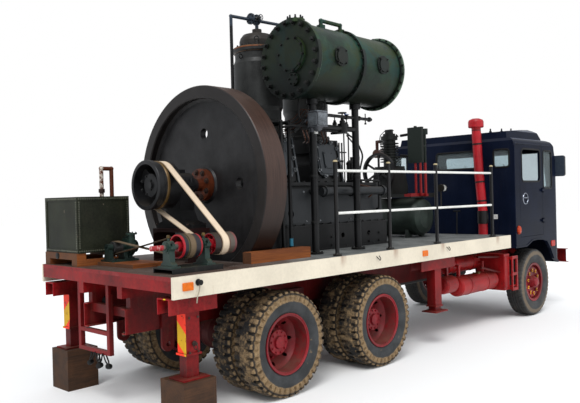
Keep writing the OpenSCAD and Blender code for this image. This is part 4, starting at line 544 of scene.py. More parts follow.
def countershaft_tones(f, body):
    """Painted bands on the countershaft's pulleys, worn paint on its stub, and the bare shaft."""
    out = f.radius("x", (0, COUNTER.y, COUNTER.z))
    tread = out.rise(0.100, 0.106)
    for place, colour in ((f.x.between(0.315, 0.50), (0.12, 0.12, 0.15)),
                          (f.x.between(0.355, 0.415), (0.30, 0.26, 0.15)),
                          (f.x.between(0.755, 0.875), (0.30, 0.24, 0.19)),
                          (f.x.rise(0.87, 0.88), (0.33, 0.30, 0.27)),
                          (f.x.rise(0.93, 0.94), (0.42, 0.24, 0.24)),
                          (f.x.between(0.68, 0.765), (0.16, 0.13, 0.12))):
        body = f.mix(body, colour, place * tread)
    stub = f.x.rise(0.155, 0.15) * f.noise(22, 5, 0.7, stretch=(3, 1, 1)).rise(0.50, 0.58)
    body = f.mix(body, (0.78, 0.60, 0.58), stub * 0.7)
    return f.mix(body, (0.35, 0.33, 0.31), out.rise(0.027, 0.026) * f.x.rise(0.12, 0.14))


def stand_tones(f, body):
    """Black channel under the green bearings."""
    return f.mix(body, (0.055, 0.058, 0.06), f.z.rise(DECK_Z + 0.052, DECK_Z + 0.048))


def stack_tones(f, body):
    """The rubber sleeve of the intake stack and the dark lip of its cap."""
    sleeve = f.z.between(DECK_Z + 0.17, DECK_Z + 0.385)
    lip = f.z.between(STACK_TOP - 0.21, STACK_TOP - 0.19)
    return f.mix(body, (0.07, 0.06, 0.06), sleeve.either(lip * 0.7))


def aux_tones(f, body):
    """Dark green header tank, red water pipes and breather, brown silencer on the auxiliary engine."""
    ahead, high = f.x - AUX_X, f.z - DECK_Z
    header = ahead.rise(-0.065, -0.070) * f.y.rise(-0.050, -0.055) * high.rise(1.17, 1.18)
    body = f.mix(body, (0.085, 0.12, 0.10), header)
    pipes = f.y.rise(-0.12, -0.13) * high.between(0.65, 1.178) * ahead.rise(-0.060, -0.065)
    breather = f.y.rise(-0.195, -0.200) * ahead.rise(-0.005, 0) * high.rise(1.62, 1.63)
    body = f.mix(body, (0.50, 0.08, 0.09), pipes.either(breather))
    return f.mix(body, (0.24, 0.13, 0.09), f.y.rise(0.54, 0.55) * high.rise(1.2, 1.21))


def pipe_tones(f, body):
    """Grey lubricator box, blue-grey air pipe, and a strip of blue tape."""
    box = f.z.between(CRANK_Z + 0.60, CRANK_Z + 0.835) * f.y.rise(-0.70, -0.71) * f.x.between(2.34, 2.56)
    body = f.mix(body, (0.34, 0.35, 0.37), box * 0.9)
    body = f.mix(body, (0.20, 0.24, 0.29), (f.z - HEAD_Z).rise(0.21, 0.25) * 0.8)
    tape = f.z.between(DECK_Z + 0.10, DECK_Z + 0.19) * f.x.between(2.27, 2.34) * f.y.between(-0.53, -0.47)
    return f.mix(body, (0.25, 0.55, 0.66), tape)


def post_tones(f, body):
    """Brass-cream caps on the posts."""
    return f.mix(body, (0.70, 0.64, 0.50), f.z.rise(POST_TOP - 0.022, POST_TOP - 0.020))


def mirror_painted_reflection(f, body):
    """Painted reflection: blue-grey for the mirrors' glass, on the faces towards the rear."""
    return f.mix(body, (0.20, 0.23, 0.27), f.out_x.rise(-0.9, -0.98))


def receiver_tones(f, body):
    """The pressure gauge's brass case."""
    return f.mix(body, (0.13, 0.12, 0.10), f.x.rise(DECK_END - 0.345, DECK_END - 0.340))


# Materials of the frame's nodes
def dress(material, *names):
    for name in names:
        mesh = nodes[name].data
        mesh.materials.clear()
        mesh.materials.append(material)
        for polygon in mesh.polygons:
            polygon.material_index = 0


RED_PAINT = paint("worn red paint and painted deck shade", DECK_SHADED_RED, wear=0.42, dirt=0.32, gloss=0.42, tone=0.16, extra=painted_deck_shade,
                  Specular_IOR_Level=0.15)
NAVY_GLOSS = paint("navy gloss", NAVY, wear=0.03, dirt=0.05, gloss=0.20, tone=0.08, extra=roof_sky_reflection_and_road_dust,
                   IOR=1.13, Specular_IOR_Level=0.5)
BOLT = iron("dark bolt iron", (0.085, 0.088, 0.088), sheen=0.42, rust=0.12)
RUSTY = iron("rusty bolt iron", (0.19, 0.13, 0.105), sheen=0.55, rust=0.5)
BRASS = iron("tarnished brass", (0.36, 0.28, 0.13), sheen=0.36, rust=0.0)
COPPER = iron("copper pipe", (0.30, 0.17, 0.11), sheen=0.36, rust=0.0)
HOSE = iron("black hose", (0.05, 0.05, 0.052), sheen=0.55, rust=0.0)
WINDOW_RUBBER = iron("window rubber", (0.045, 0.045, 0.048), sheen=0.6, rust=0.0)
CHROME = iron("dull chrome", (0.56, 0.58, 0.62), sheen=0.22, rust=0.0, oil=0.2, Metallic=0.8)
DRUM_BOLT = iron("drum bolt", (0.06, 0.065, 0.06), sheen=0.42, rust=0.1)
DOOR_CLAMP = iron("door clamp iron", (0.40, 0.41, 0.42), sheen=0.42, rust=0.1)
HUB_RED = paint("hub red", (0.50, 0.065, 0.105), dirt=0.4, gloss=0.42)
WHITE = paint("blank plate white", (0.88, 0.88, 0.86), wear=0.1, dirt=0.1, gloss=0.3)


def wear_of_lorry():
    """Paint, iron, timber and glass of the lorry itself."""
    dress(RED_PAINT, "chassis", "deck_frame", "rear_ladder")
    dress(RED_PAINT, *("leg_%s_%s" % (end, hand) for end in ("rear", "front") for hand, _ in SIDES))
    dress(paint("air tank red", FADED_RED, wear=0.42, dirt=0.32, gloss=0.36, tone=0.16,
                Specular_IOR_Level=0.2),
          "air_tanks", "side_box")
    dress(paint("striped red paint", DECK_SHADED_RED, wear=0.42, dirt=0.36, gloss=0.42, tone=0.16, extra=hazard_stripes,
                Specular_IOR_Level=0.15), "leg_housings")
    dress(paint("wheel red paint", WHEEL_RED, dust=(0.42, 0.33, 0.27), wear=0.35, dirt=0.5, gloss=0.42,
                extra=dish_dust),
          *("%s_%s" % (wheel, hand) for wheel in ("wheel_front", "wheels_mid", "wheels_rear")
            for hand, _ in SIDES))
    dress(paint("oily dull red", (0.26, 0.05, 0.05), wear=0.5, dirt=0.55, gloss=0.55),
          "bogie_axles", "bogie_springs", "front_axle", "knuckle_right", "knuckle_left")
    dress(paint("stack red", (0.62, 0.07, 0.11), wear=0.38, dirt=0.12, gloss=0.42, extra=stack_tones),
          "intake_stack")
    dress(paint("cream paint", (0.85, 0.81, 0.73), wear=0.08, dirt=0.08, gloss=0.45, tone=0.02,
                extra=cream_runs), "side_rails")
    dress(NAVY_GLOSS, "cab_shell", "door_right", "door_left")
    dress(paint("dash black", (0.09, 0.09, 0.10), wear=0.05, dirt=0.2, gloss=0.55), "cab_interior")
    dress(chequer_plate(), "deck_floor")
    dress(timber(), "timbers")
    dress(glass(), "cab_glass")
    dress(paint("mirror back", BLACK, wear=0.1, dirt=0.1, gloss=0.25, extra=mirror_painted_reflection), "mirrors")
    dress(paint("lamp lens", (0.80, 0.80, 0.76), wear=0.02, dirt=0.1, gloss=0.12, Coat_Weight=1.0),
          "headlamps")
    dress(paint("post black", BLACK, bare=(0.30, 0.29, 0.28), wear=0.25, dirt=0.15, gloss=0.34,
                extra=post_tones), "guard_posts")
    dress(paint("rail white", (0.90, 0.90, 0.88), bare=(0.35, 0.25, 0.18), wear=0.15, dirt=0.15, gloss=0.35,
                tone=0.04), "guard_rails")
    dress(iron("driveline iron", (0.10, 0.10, 0.10), rust=0.3, oil=0.8), "driveline")


def wear_of_engine():
    """Iron and paint of the engine, its drum and its cooling tank."""
    dress(iron("flywheel iron", (0.115, 0.112, 0.115), sheen=0.40, rust=0.12, oil=0.3, extra=flywheel_tones),
          "flywheel")
    dress(iron("crankshaft iron", (0.10, 0.10, 0.105), sheen=0.40, extra=crankshaft_tones), "crankshaft")
    dress(iron("bearing iron", (0.075, 0.075, 0.08), rust=0.25, extra=bearing_tones), "outboard_bearing")
    dress(iron("bed iron", (0.085, 0.088, 0.09), rust=0.15, extra=bed_tones), "engine_bed")
    dress(iron("frame iron", (0.065, 0.066, 0.07), rust=0.1, extra=frame_tones), "engine_frames")
    dress(iron("cylinder iron", (0.135, 0.138, 0.135), sheen=0.5, rust=0.25, extra=cylinder_tones),
          "cylinders")
    dress(iron("pipe black", (0.05, 0.052, 0.055), sheen=0.35, rust=0.1, extra=pipe_tones), "engine_pipes")
    dress(iron("drum green", (0.125, 0.205, 0.155), sheen=0.42, extra=drum_tones, Specular_IOR_Level=0.22),
          "receiver_drum")
    dress(paint("tank green", (0.125, 0.135, 0.095), wear=0.2, dirt=0.16, gloss=0.5, tone=0.2,
                extra=tank_tones, Specular_IOR_Level=0.15), "cooling_tank")


def wear_of_drives():
    """Belts, countershaft, pump and auxiliary set."""
    dress(belt_web("pale belt web", (0.86, 0.78, 0.68), (0.50, 0.42, 0.33), BELT_X, BELT_HALF), "main_belt")
    dress(belt_web("brown belt web", (0.40, 0.33, 0.24), (0.20, 0.16, 0.11), middle_x=PUMP_BELT_X,
                   half_width=0.035), "pump_belt")
    dress(paint("pulley red", (0.60, 0.07, 0.12), wear=0.35, gloss=0.38, extra=countershaft_tones),
          "countershaft")
    dress(paint("bearing green", (0.11, 0.19, 0.165), gloss=0.42, extra=stand_tones), "countershaft_stand")
    dress(iron("pump green", (0.09, 0.15, 0.13), rust=0.15), "pump")
    dress(iron("pulley steel", (0.20, 0.20, 0.20), sheen=0.35), "pump_pulley")
    dress(iron("aux iron", (0.07, 0.08, 0.07), extra=aux_tones), "aux_engine")
    dress(iron("aux flywheel black", (0.06, 0.06, 0.065), rust=0.15), "aux_flywheel")
    dress(iron("receiver green", (0.12, 0.155, 0.135), rust=0.12, oil=0.3, extra=receiver_tones),
          "aux_receiver")


# Shapes
def link(name, mesh, body):
    """Puts a mesh in the scene as a piece that rides on a body of the frame."""
    made = bpy.data.objects.new(name.replace(" ", "_"), mesh)
    bpy.context.scene.collection.objects.link(made)
    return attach(made, body)


def circle(across, other, radius, steps):
    """Offsets to the points of a circle, in the plane of two unit directions."""
    angles = (math.tau * i / steps for i in range(steps))
    return [(across * math.cos(a) + other * math.sin(a)) * radius for a in angles]


def walls(layers, count):
    """Four-sided faces between layers of count points each, one layer after the other."""
    faces = []
    for layer in range(layers - 1):
        for i in range(count):
            a, b = layer * count + i, layer * count + (i + 1) % count
            faces.append([a, b, b + count, a + count])
    return faces


def closed_walls(layers, count):
    """Faces between layers of count points each, and from the last layer back to the first."""
    faces = []
    for i in range(layers):
        j = (i + 1) % layers
        for k in range(count):
            m = (k + 1) % count
            faces.append([i * count + k, i * count + m, j * count + m, j * count + k])
    return faces


def ends(total, count):
    """The first and the last layer of points as faces."""
    return [list(range(count)), list(range(total - count, total))]


def rounded(points, bend, steps=6):
    """A path with its corners rounded by arcs of about the radius bend."""
    points = [Vector(p) for p in points]
    if bend <= 0:
        return points
    path = [points[0]]
    for back, corner, front in zip(points, points[1:], points[2:]):
        into, out = corner - back, front - corner
        angle = into.angle(out)
        if angle < 0.02:
            path.append(corner)
            continue
        reach = min(bend * math.tan(angle / 2), into.length * 0.48, out.length * 0.48)
        start, end = corner - into.normalized() * reach, corner + out.normalized() * reach
        for i in range(steps + 1):
            t = i / steps
            path.append(start * (1 - t) ** 2 + corner * 2 * t * (1 - t) + end * t * t)
    return path + [points[-1]]


def rounded_outline(width, height, radius, steps=5):
    """Rounded rectangle about the origin."""
    outline = []
    half_w, half_h = width / 2 - radius, height / 2 - radius
    for corner, (sx, sy) in enumerate(((1, 1), (-1, 1), (-1, -1), (1, -1))):
        for i in range(steps + 1):
            a = math.pi / 2 * (corner + i / steps)
            outline.append((sx * half_w + radius * math.cos(a), sy * half_h + radius * math.sin(a)))
    return outline


def mirrored(half):
    """Points of half a section, and their mirror image with the second number turned round."""
    return half + [(first, -second, *rest) for first, second, *rest in reversed(half)]


def button(radius, top, crown=0.0, base=0.0):
    """Profile of a plain round button between two heights, its top crowned."""
    return [(0.0, base), (radius, base), (radius, top), (0.0, top + crown)]


def sleeve(inner, outer, half_width, chamfer=0.0):
    """Profile of a band round a pipe."""
    return mirrored([(inner, -half_width), (outer, chamfer - half_width)])


class Heap:
    """Collects vertices and faces of many small forms, so that they become one piece."""

    def __init__(self):
        self.verts, self.faces = [], []

    def add(self, verts, faces):
        start = len(self.verts)
        self.verts += [Vector(v) for v in verts]
        self.faces += [[start + i for i in face] for face in faces]
        return self

    def lathe(self, profile, origin, axis, steps=24):
        """Turns (radius, along) points about an axis through origin; closed at both ends."""
        axis = Vector(axis).normalized()
        across = axis.orthogonal().normalized()
        other = axis.cross(across)
        rings, verts = [], []
        for radius, along in profile:
            centre = Vector(origin) + axis * along
            if radius < 1e-6:
                rings.append([len(verts)] * steps)
                verts.append(centre)
            else:
                rings.append(list(range(len(verts), len(verts) + steps)))
                verts += [centre + offset for offset in circle(across, other, radius, steps)]
        faces = []
        for low, high in zip(rings, rings[1:]):
            for i in range(steps):
                corners = [low[i], low[(i + 1) % steps], high[(i + 1) % steps], high[i]]
                face = [v for k, v in enumerate(corners) if v not in corners[:k]]
                if len(face) > 2:
                    faces.append(face)
        faces += [list(around) for around in (rings[0], rings[-1]) if len(set(around)) > 2]
        return self.add(verts, faces)

    def tube(self, points, radius, steps=8, bend=0.0):
        """Sweeps a circle along points, with its corners rounded by arcs of about the radius bend."""
        path = rounded(points, bend)
        verts = []
        across = (path[1] - path[0]).orthogonal().normalized()
        for i, point in enumerate(path):
            back = path[max(0, i - 1)]
            front = path[min(len(path) - 1, i + 1)]
            ahead = (front - back).normalized()
            across = (across - ahead * across.dot(ahead)).normalized()
            verts += [point + offset for offset in circle(across, ahead.cross(across), radius, steps)]
        return self.add(verts, walls(len(path), steps) + ends(len(verts), steps))

    def plate(self, outline, origin, across, up, thick, edge=0.0):
        """A flat plate: outline in (across, up), thickness along across x up, its front edge chamfered."""
        across, up = Vector(across).normalized(), Vector(up).normalized()
        out = across.cross(up)
        centre = sum((Vector(p) for p in outline), Vector((0, 0))) / len(outline)
        layers = [(0.0, 0.0), (thick - edge, 0.0)] + ([(thick, edge)] if edge else [])
        verts = []
        for high, inset in layers:
            for p in outline:
                near = Vector(p) - (Vector(p) - centre).normalized() * inset
                verts.append(Vector(origin) + across * near.x + up * near.y + out * high)
        count = len(outline)
        return self.add(verts, walls(len(layers), count) + ends(len(verts), count))

    def bar(self, low, high, edge=0.002):
        """A bar between two corners, its upright edges chamfered."""
        low, high = Vector(low), Vector(high)
        size = high - low
        e = min(edge, size.x / 3, size.y / 3)
        outline = [(e, 0), (size.x - e, 0), (size.x, e), (size.x, size.y - e), (size.x - e, size.y),
                   (e, size.y), (0, size.y - e), (0, e)]
        return self.plate(outline, low, AHEAD, LEFT, thick=size.z, edge=min(e, size.z / 3))

    def hoop(self, points, normal, wide, deep, sides=8):
        """Sweeps an oval section round a closed flat outline."""
        normal = Vector(normal).normalized()
        points = [Vector(p) for p in points]
        verts = []
        for i, point in enumerate(points):
            out = (points[(i + 1) % len(points)] - points[i - 1]).cross(normal).normalized()
            verts += [point + out * (math.cos(a) * wide) + normal * (math.sin(a) * deep)
                      for a in (math.tau * k / sides for k in range(sides))]
        return self.add(verts, closed_walls(len(points), sides))

    def loop(self, centre, axis, radius, thick, steps=20, sides=8):
        """A closed ring of round bar."""
        points = [point for point, _ in ring(centre, axis, radius, steps)]
        return self.hoop(points, axis, thick, thick, sides)

    def valve(self, foot, axis, size=1.0):
        """A screw-down valve: body, gland, stem and a round handwheel with two spokes."""
        axis = Vector(axis).normalized()
        body = ((0.0, -0.03), (0.024, -0.03), (0.030, -0.012), (0.030, 0.012), (0.018, 0.026), (0.018, 0.045))
        stem = ((0.007, 0.050), (0.007, 0.105), (0.0, 0.106))
        self.lathe([(r * size, a * size) for r, a in body + stem], foot, axis, steps=16)
        top = Vector(foot) + axis * 0.098 * size
        wheel_r = 0.042 * size
        self.loop(top, axis, radius=wheel_r, thick=0.006 * size, sides=6)
        across = axis.orthogonal().normalized()
        for arm in (across, axis.cross(across)):
            self.tube([top - arm * wheel_r, top + arm * wheel_r], radius=0.004 * size, steps=6)

    def build(self, name, body, material, smooth=35.0):
        """Makes the piece: faces outward, and smooth across edges that turn less than smooth degrees."""
        mesh = bpy.data.meshes.new(name)
        mesh.from_pydata([tuple(v) for v in self.verts], [], self.faces)
        work = bmesh.new()
        work.from_mesh(mesh)
        bmesh.ops.remove_doubles(work, verts=work.verts, dist=1e-5)
        bmesh.ops.recalc_face_normals(work, faces=work.faces)
        for face in work.faces:
            face.smooth = True
        for edge in work.edges:
            edge.smooth = len(edge.link_faces) == 2 and edge.calc_face_angle(0) < math.radians(smooth)
        work.to_mesh(mesh)
        work.free()
        mesh.materials.append(material)
        return link(name, mesh, body)


# Fasteners: Geometry Nodes put one head on each point, turned to face out
def fastener_nodes():
    """Node group: washer and domed or six-sided head on every point, along the attribute "out"."""
    group = bpy.data.node_groups.new("fastener pattern", "GeometryNodeTree")
    face = group.interface
    face.new_socket("Points", in_out="INPUT", socket_type="NodeSocketGeometry")
    for label, value in (("Head radius", 0.012), ("Head height", 0.008), ("Washer radius", 0.016)):
        face.new_socket(label, in_out="INPUT", socket_type="NodeSocketFloat").default_value = value
    face.new_socket("Sides", in_out="INPUT", socket_type="NodeSocketInt").default_value = 6
    face.new_socket("Finish", in_out="INPUT", socket_type="NodeSocketMaterial")
    face.new_socket("Heads", in_out="OUTPUT", socket_type="NodeSocketGeometry")

    def add(kind, settings, sockets, output=0):
        return Val(group, node(group, kind, settings, sockets).outputs[output])

    given = group.nodes.new("NodeGroupInput")
    radius, height, washer_r, sides, finish, points = (
        Val(group, given.outputs[label])
        for label in ("Head radius", "Head height", "Washer radius", "Sides", "Finish", "Points"))
    head = add("GeometryNodeMeshCone", {},
               {"Vertices": sides, "Radius Bottom": radius, "Radius Top": radius * 0.82, "Depth": height})
    washer = add("GeometryNodeMeshCone", {},
                 {"Vertices": 16, "Radius Bottom": washer_r, "Radius Top": washer_r, "Depth": height * 0.25})
    both = group.nodes.new("GeometryNodeJoinGeometry")
    for part in (head, washer):
        feed(group, both.inputs[0], part)
    outward = add("GeometryNodeInputNamedAttribute", {"data_type": "FLOAT_VECTOR"}, {"Name": "out"},
                  "Attribute")
    turn = add("FunctionNodeAlignRotationToVector", {"axis": "Z"}, {"Vector": outward})
    spread = add("GeometryNodeInstanceOnPoints", {},
                 {"Points": points, "Instance": Val(group, both.outputs[0]), "Rotation": turn})
    real = add("GeometryNodeRealizeInstances", {}, {0: spread})
    heads = add("GeometryNodeSetMaterial", {}, {"Geometry": real, "Material": finish})
    node(group, "NodeGroupOutput", {}, {0: heads})
    return group


FASTENERS = fastener_nodes()


def fasteners(name, places, material, radius, height, washer=None, sides=6, body="lorry"):
    """places: (point, outward direction) pairs; all the heads become one piece."""
    mesh = bpy.data.meshes.new(name + " points")
    mesh.from_pydata([tuple(p) for p, _ in places], [], [])
    outward = mesh.attributes.new("out", "FLOAT_VECTOR", "POINT")
    outward.data.foreach_set("vector", [c for _, d in places for c in Vector(d).normalized()])
    carrier = bpy.data.objects.new(name + " carrier", mesh)
    bpy.context.scene.collection.objects.link(carrier)
    pattern = carrier.modifiers.new("pattern", "NODES")
    pattern.node_group = FASTENERS
    given = {"Head radius": radius, "Head height": height, "Washer radius": washer or radius * 1.3,
             "Sides": sides, "Finish": material}
    for item in FASTENERS.interface.items_tree:
        if item.in_out == "INPUT" and item.name in given:
            pattern[item.identifier] = given[item.name]
    bpy.context.view_layer.update()
    seen = carrier.evaluated_get(bpy.context.evaluated_depsgraph_get())
    solid = bpy.data.meshes.new_from_object(seen)
    carrier.modifiers.clear()
    bpy.data.objects.remove(carrier)
    solid.name = name
    if not solid.materials:
        solid.materials.append(material)
    return link(name, solid, body)


def ring(centre, axis, radius, count, start=0.0):
    """count (point, direction) pairs on a circle about an axis, from the angle start on."""
    axis = Vector(axis).normalized()
    across = Vector(UP) if abs(axis.z) < 0.9 else Vector(AHEAD)
    other = axis.cross(across)
    return [(Vector(centre) + (across * math.cos(a) + other * math.sin(a)) * radius, axis)
            for a in (start + math.tau * i / count for i in range(count))]


def row(first, last, out, count):
    """count (point, direction) pairs in a straight line."""
    first, last = Vector(first), Vector(last)
    return [(first.lerp(last, i / (count - 1)), out) for i in range(count)]


# Tyres: lugs as a height over the carcass, with clods of mud between them
def lugged_tyre(heap, x, y, side, lugs, section, depth, seed):
    """Adds one tyre; section is (radius, distance outwards, share of the lug pattern) round its wall."""
    chance = random.Random(seed)
    per_lug, raised_part, shoulder_r, shoulder_depth = 8, 5, 0.556, 0.06
    steps = lugs * per_lug
    clod = [chance.random() for _ in range(lugs * 6)]
    verts = []
    for i in range(steps):
        a = math.tau * i / steps
        lug, phase = divmod(i, per_lug)
        for k, (radius, out, share) in enumerate(section):
            stagger = 0 if out < 0 else per_lug // 2
            raised = (phase + stagger) % per_lug < raised_part
            mud = clod[(lug * 5 + k // 3) % len(clod)]
            sink = 0.0 if raised else depth * share * (0.55 + 0.45 * mud)
            lump = -share * 0.004 * chance.random()
            sideways = min(1.0, max(0.0, (shoulder_r - radius) / shoulder_depth))
            r = radius - sink * (1 - 0.75 * sideways) + lump
            inward = math.copysign(sink * sideways, out)
            verts.append(at(x + r * math.sin(a), y + side * (out - inward), WHEEL_Z + r * math.cos(a)))
    heap.add(verts, closed_walls(steps, len(section)))


def front_section():
    """Section of the front tyres: fine blocks at the shoulders, ribs between."""
    wall = [(0.309, 0.106, 0), (0.330, 0.112, 0), (0.345, 0.128, 0), (0.385, 0.144, 0), (0.445, 0.149, 0)]
    shoulder = [(0.480, 0.147, 0.1), (0.510, 0.142, 0.7), (0.535, 0.136, 1), (0.550, 0.126, 1),
                (0.559, 0.110, 1)]
    ribs = [(0.5605, 0.080, 0.9), (0.5605, 0.074, 0.5), (0.549, 0.072, 0), (0.549, 0.062, 0),
            (0.5605, 0.060, 0.4), (0.561, 0.030, 0.4), (0.549, 0.028, 0), (0.549, 0.014, 0),
            (0.561, 0.012, 0.3)]
    return mirrored(wall + shoulder + ribs)


def rear_section():
    """Section of the driven tyres: smooth wall, and lugs from the shoulder over the crown."""
    wall = [(0.310, 0.104, 0), (0.330, 0.110, 0), (0.345, 0.128, 0), (0.385, 0.143, 0), (0.432, 0.149, 0)]
    shoulder = [(0.452, 0.150, 0.05), (0.468, 0.152, 0.5), (0.478, 0.152, 0.95), (0.500, 0.151, 1)]
    crown = [(0.530, 0.144, 1), (0.548, 0.134, 1), (0.556, 0.122, 1), (0.558, 0.085, 1), (0.559, 0.050, 0.9),
             (0.559, 0.040, 0.25), (0.560, 0.012, 0.25)]
    return mirrored(wall + shoulder + crown)


def tyres():
    tread, seed = muddy_rubber(), 0
    for end in ("mid", "rear"):
        for hand, side in SIDES:
            heap = Heap()
            for y in (TWIN_Y - TWIN_HALF_GAP, TWIN_Y + TWIN_HALF_GAP):
                seed += 1
                lugged_tyre(heap, BOGIE[end], side * y, side, 40, rear_section(), depth=0.030, seed=seed)
            made = heap.build("lugged tyres %s %s" % (end, hand), "wheels_%s_%s" % (end, hand), tread,
                              smooth=40)
            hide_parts("tyres_%s_%s" % (end, hand))
    tread = front_tyre_rubber()
    for hand, side in SIDES:
        seed += 1
        heap = Heap()
        lugged_tyre(heap, FRONT_X, side * FRONT_Y, side, 48, front_section(), depth=0.012, seed=seed)
        made = heap.build("blocked tyre " + hand, "wheel_front_" + hand, tread, smooth=40)
        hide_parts("tyre_front_" + hand)


# Wheels: hub flanges, studs, nuts and the yellow nut markers of the front wheels
def rear_hub(end, hand, side):
    body = "wheels_%s_%s" % (end, hand)
    out = (0, side, 0)
    x, face = BOGIE[end], side * (TWIN_Y + 0.121)
    profile = [(0.0, 0.0), (0.132, 0.0), (0.136, 0.006), (0.136, 0.020), (0.130, 0.026), (0.072, 0.028),
               (0.064, 0.052), (0.040, 0.060), (0.0, 0.062)]
    flange = Heap().lathe(profile, at(x, face, WHEEL_Z), out, steps=40)
    flange.build("half-shaft flange " + body, body, HUB_RED)
    places = ring(at(x, face + side * 0.026, WHEEL_Z), out, radius=0.110, count=10, start=0.2)
    fasteners("half-shaft bolts " + body, places, HUB_RED, radius=0.011, height=0.016, body=body)
    places = ring(at(x, side * (TWIN_Y + 0.014), WHEEL_Z), out, radius=0.172, count=10)
    fasteners("wheel nuts " + body, places, HUB_RED, radius=0.019, height=0.040, washer=0.026, body=body)
    rim = at(x, side * (TWIN_Y + TWIN_HALF_GAP + 0.118), WHEEL_Z)
    lock = Heap().loop(rim, out, radius=0.316, thick=0.009, steps=64)
    lock.build("rim lock ring " + body, body, HUB_RED)


def front_hub(hand, side, marker_yellow):
    body = "wheel_front_" + hand
    out = Vector((0, side, 0))
    centre = at(FRONT_X, side * (FRONT_Y + 0.077), WHEEL_Z)
    places = ring(centre, out, radius=0.192, count=10, start=0.1)
    fasteners("wheel nuts " + body, places, HUB_RED, radius=0.019, height=0.036, washer=0.027, body=body)
    markers = Heap()
    for point, _ in places:
        away = (point - centre).normalized()
        foot = point + out * 0.020
        pointer = [(-0.012, 0.014), (0.012, 0.014), (0.0, 0.044)]
        markers.plate(pointer, foot, away.cross(out), away, thick=0.008)
        markers.lathe(sleeve(0.021, 0.026, half_width=0.005), foot + out * 0.005, out, steps=14)
    markers.build("nut markers " + body, body, marker_yellow)
    cap_y = side * (FRONT_Y + 0.129)
    profile = [(0.0, 0.0), (0.078, 0.0), (0.078, 0.012), (0.070, 0.034), (0.050, 0.046), (0.0, 0.05)]
    cap = Heap().lathe(profile, at(FRONT_X, cap_y, WHEEL_Z), out, steps=36)
    cap.build("hub cap " + body, body, HUB_RED)
    places = ring(at(FRONT_X, cap_y + side * 0.012, WHEEL_Z), out, radius=0.066, count=6)
    fasteners("hub cap bolts " + body, places, BOLT, radius=0.007, height=0.010, body=body)


def hubs():
    for end in ("mid", "rear"):
        for hand, side in SIDES:
            rear_hub(end, hand, side)
    marker_yellow = paint("marker yellow", (0.80, 0.58, 0.12), wear=0.2, dirt=0.2)
    for hand, side in SIDES:
        front_hub(hand, side, marker_yellow)


# Cab: rubbers, trim, lamps, wipers, seats and the blank plates
SCREEN_OUT = Vector((0.95, 0, 0.23)).normalized()
CAB_REAR_FACE = CAB_X - 0.001


def screen(y, z):
    """A point on the leaning windscreen."""
    return at(CAB_X + 1.78 - 0.23 * (z - FLOOR_Z - 0.585) / 0.95, y, z)


def rear_wall(y, z):
    return at(CAB_REAR_FACE, y, z)


def window_rubber(heap, low, high, place, normal, radius):
    """Rubber section round a window; place turns (across, z) into a point on the cab."""
    middle_a, middle_z = (low[0] + high[0]) / 2, (low[1] + high[1]) / 2
    outline = rounded_outline(high[0] - low[0], high[1] - low[1], radius=radius, steps=8)
    return heap.hoop([place(middle_a + a, middle_z + z) for a, z in outline], normal, wide=0.015, deep=0.007)


def cab_side(hand, side, seals, gutters):
    """Window rubbers, round handle and gutter of one side of the cab."""
    body, out = "door_" + hand, Vector((0, side, 0))

    def skin(x, z, raised=0.001):
        return at(CAB_X + x, side * (CAB_Y + raised), z)

    door = window_rubber(Heap(), (0.28, FLOOR_Z + 0.925), (0.98, SIDE_TOP + 0.01), skin, out, radius=0.07)
    door.build("window rubber " + body, body, WINDOW_RUBBER)
    window_rubber(seals, (1.105, FLOOR_Z + 0.805), (1.45, SIDE_TOP), skin, out, radius=0.06)
    rim = Heap().loop(skin(0.395, FLOOR_Z + 0.64), LEFT, radius=0.090, thick=0.007, steps=48)
    rim.build("handle rim " + body, body, CHROME)
    grip_z, sunk, proud = FLOOR_Z + 0.655, -0.011, 0.005
    grip = Heap().tube([skin(0.35, grip_z, sunk), skin(0.35, grip_z, proud), skin(0.45, grip_z, proud),
                        skin(0.45, grip_z, sunk)], radius=0.009, steps=10, bend=0.008)
    grip.build("door handle " + body, body, CHROME)
    gutters.tube([skin(0.012, FLOOR_Z - 0.13), skin(0.012, SIDE_TOP + 0.07), skin(0.06, SIDE_TOP + 0.09),
                  skin(1.36, SIDE_TOP + 0.09)], radius=0.010, bend=0.05)
    inner, outer = (-1.12, -0.85) if side < 0 else (0.85, 1.12)
    window_rubber(seals, (inner, SIDE_TOP - 0.29), (outer, SIDE_TOP), rear_wall, BACK, radius=0.05)


def cab_windows():
    seals, gutters = Heap(), Heap()
    for hand, side in SIDES:
        cab_side(hand, side, seals, gutters)
    window_rubber(seals, (-0.64, SIDE_TOP - 0.29), (0.23, SIDE_TOP), rear_wall, BACK, radius=0.05)
    window_rubber(seals, (-1.0, FLOOR_Z + 0.805), (1.0, SIDE_TOP), screen, SCREEN_OUT, radius=0.08)
    seals.build("window rubbers", "lorry", WINDOW_RUBBER)
    gutters.build("roof gutters", "lorry", NAVY_GLOSS)


def wipers():
    heap = Heap()
    for y in (-0.62, 0.18):
        pivot = screen(y, FLOOR_Z + 0.755)
        boss = [(0.0, -0.004), (0.020, -0.004), (0.020, 0.014), (0.010, 0.024), (0.0, 0.026)]
        heap.lathe(boss, pivot, SCREEN_OUT, steps=16)
        high = screen(y + 0.30, FLOOR_Z + 1.06) + SCREEN_OUT * 0.004
        heap.tube([pivot + SCREEN_OUT * 0.018, high + SCREEN_OUT * 0.010], radius=0.006)
        blade_low, blade_high = screen(y + 0.13, FLOOR_Z + 0.86), screen(y + 0.40, FLOOR_Z + 1.28)
        heap.tube([blade_low - SCREEN_OUT * 0.006, high, blade_high - SCREEN_OUT * 0.006], radius=0.008)
    heap.build("wipers", "lorry", WINDOW_RUBBER)


def blank(name, material, origin, across, width, height, corner, thick, edge=0.0):
    """An upright plate or reflector with rounded corners and nothing written on it."""
    plate = Heap().plate(rounded_outline(width, height, corner), origin, across, UP, thick, edge)
    plate.build(name, "lorry", material)


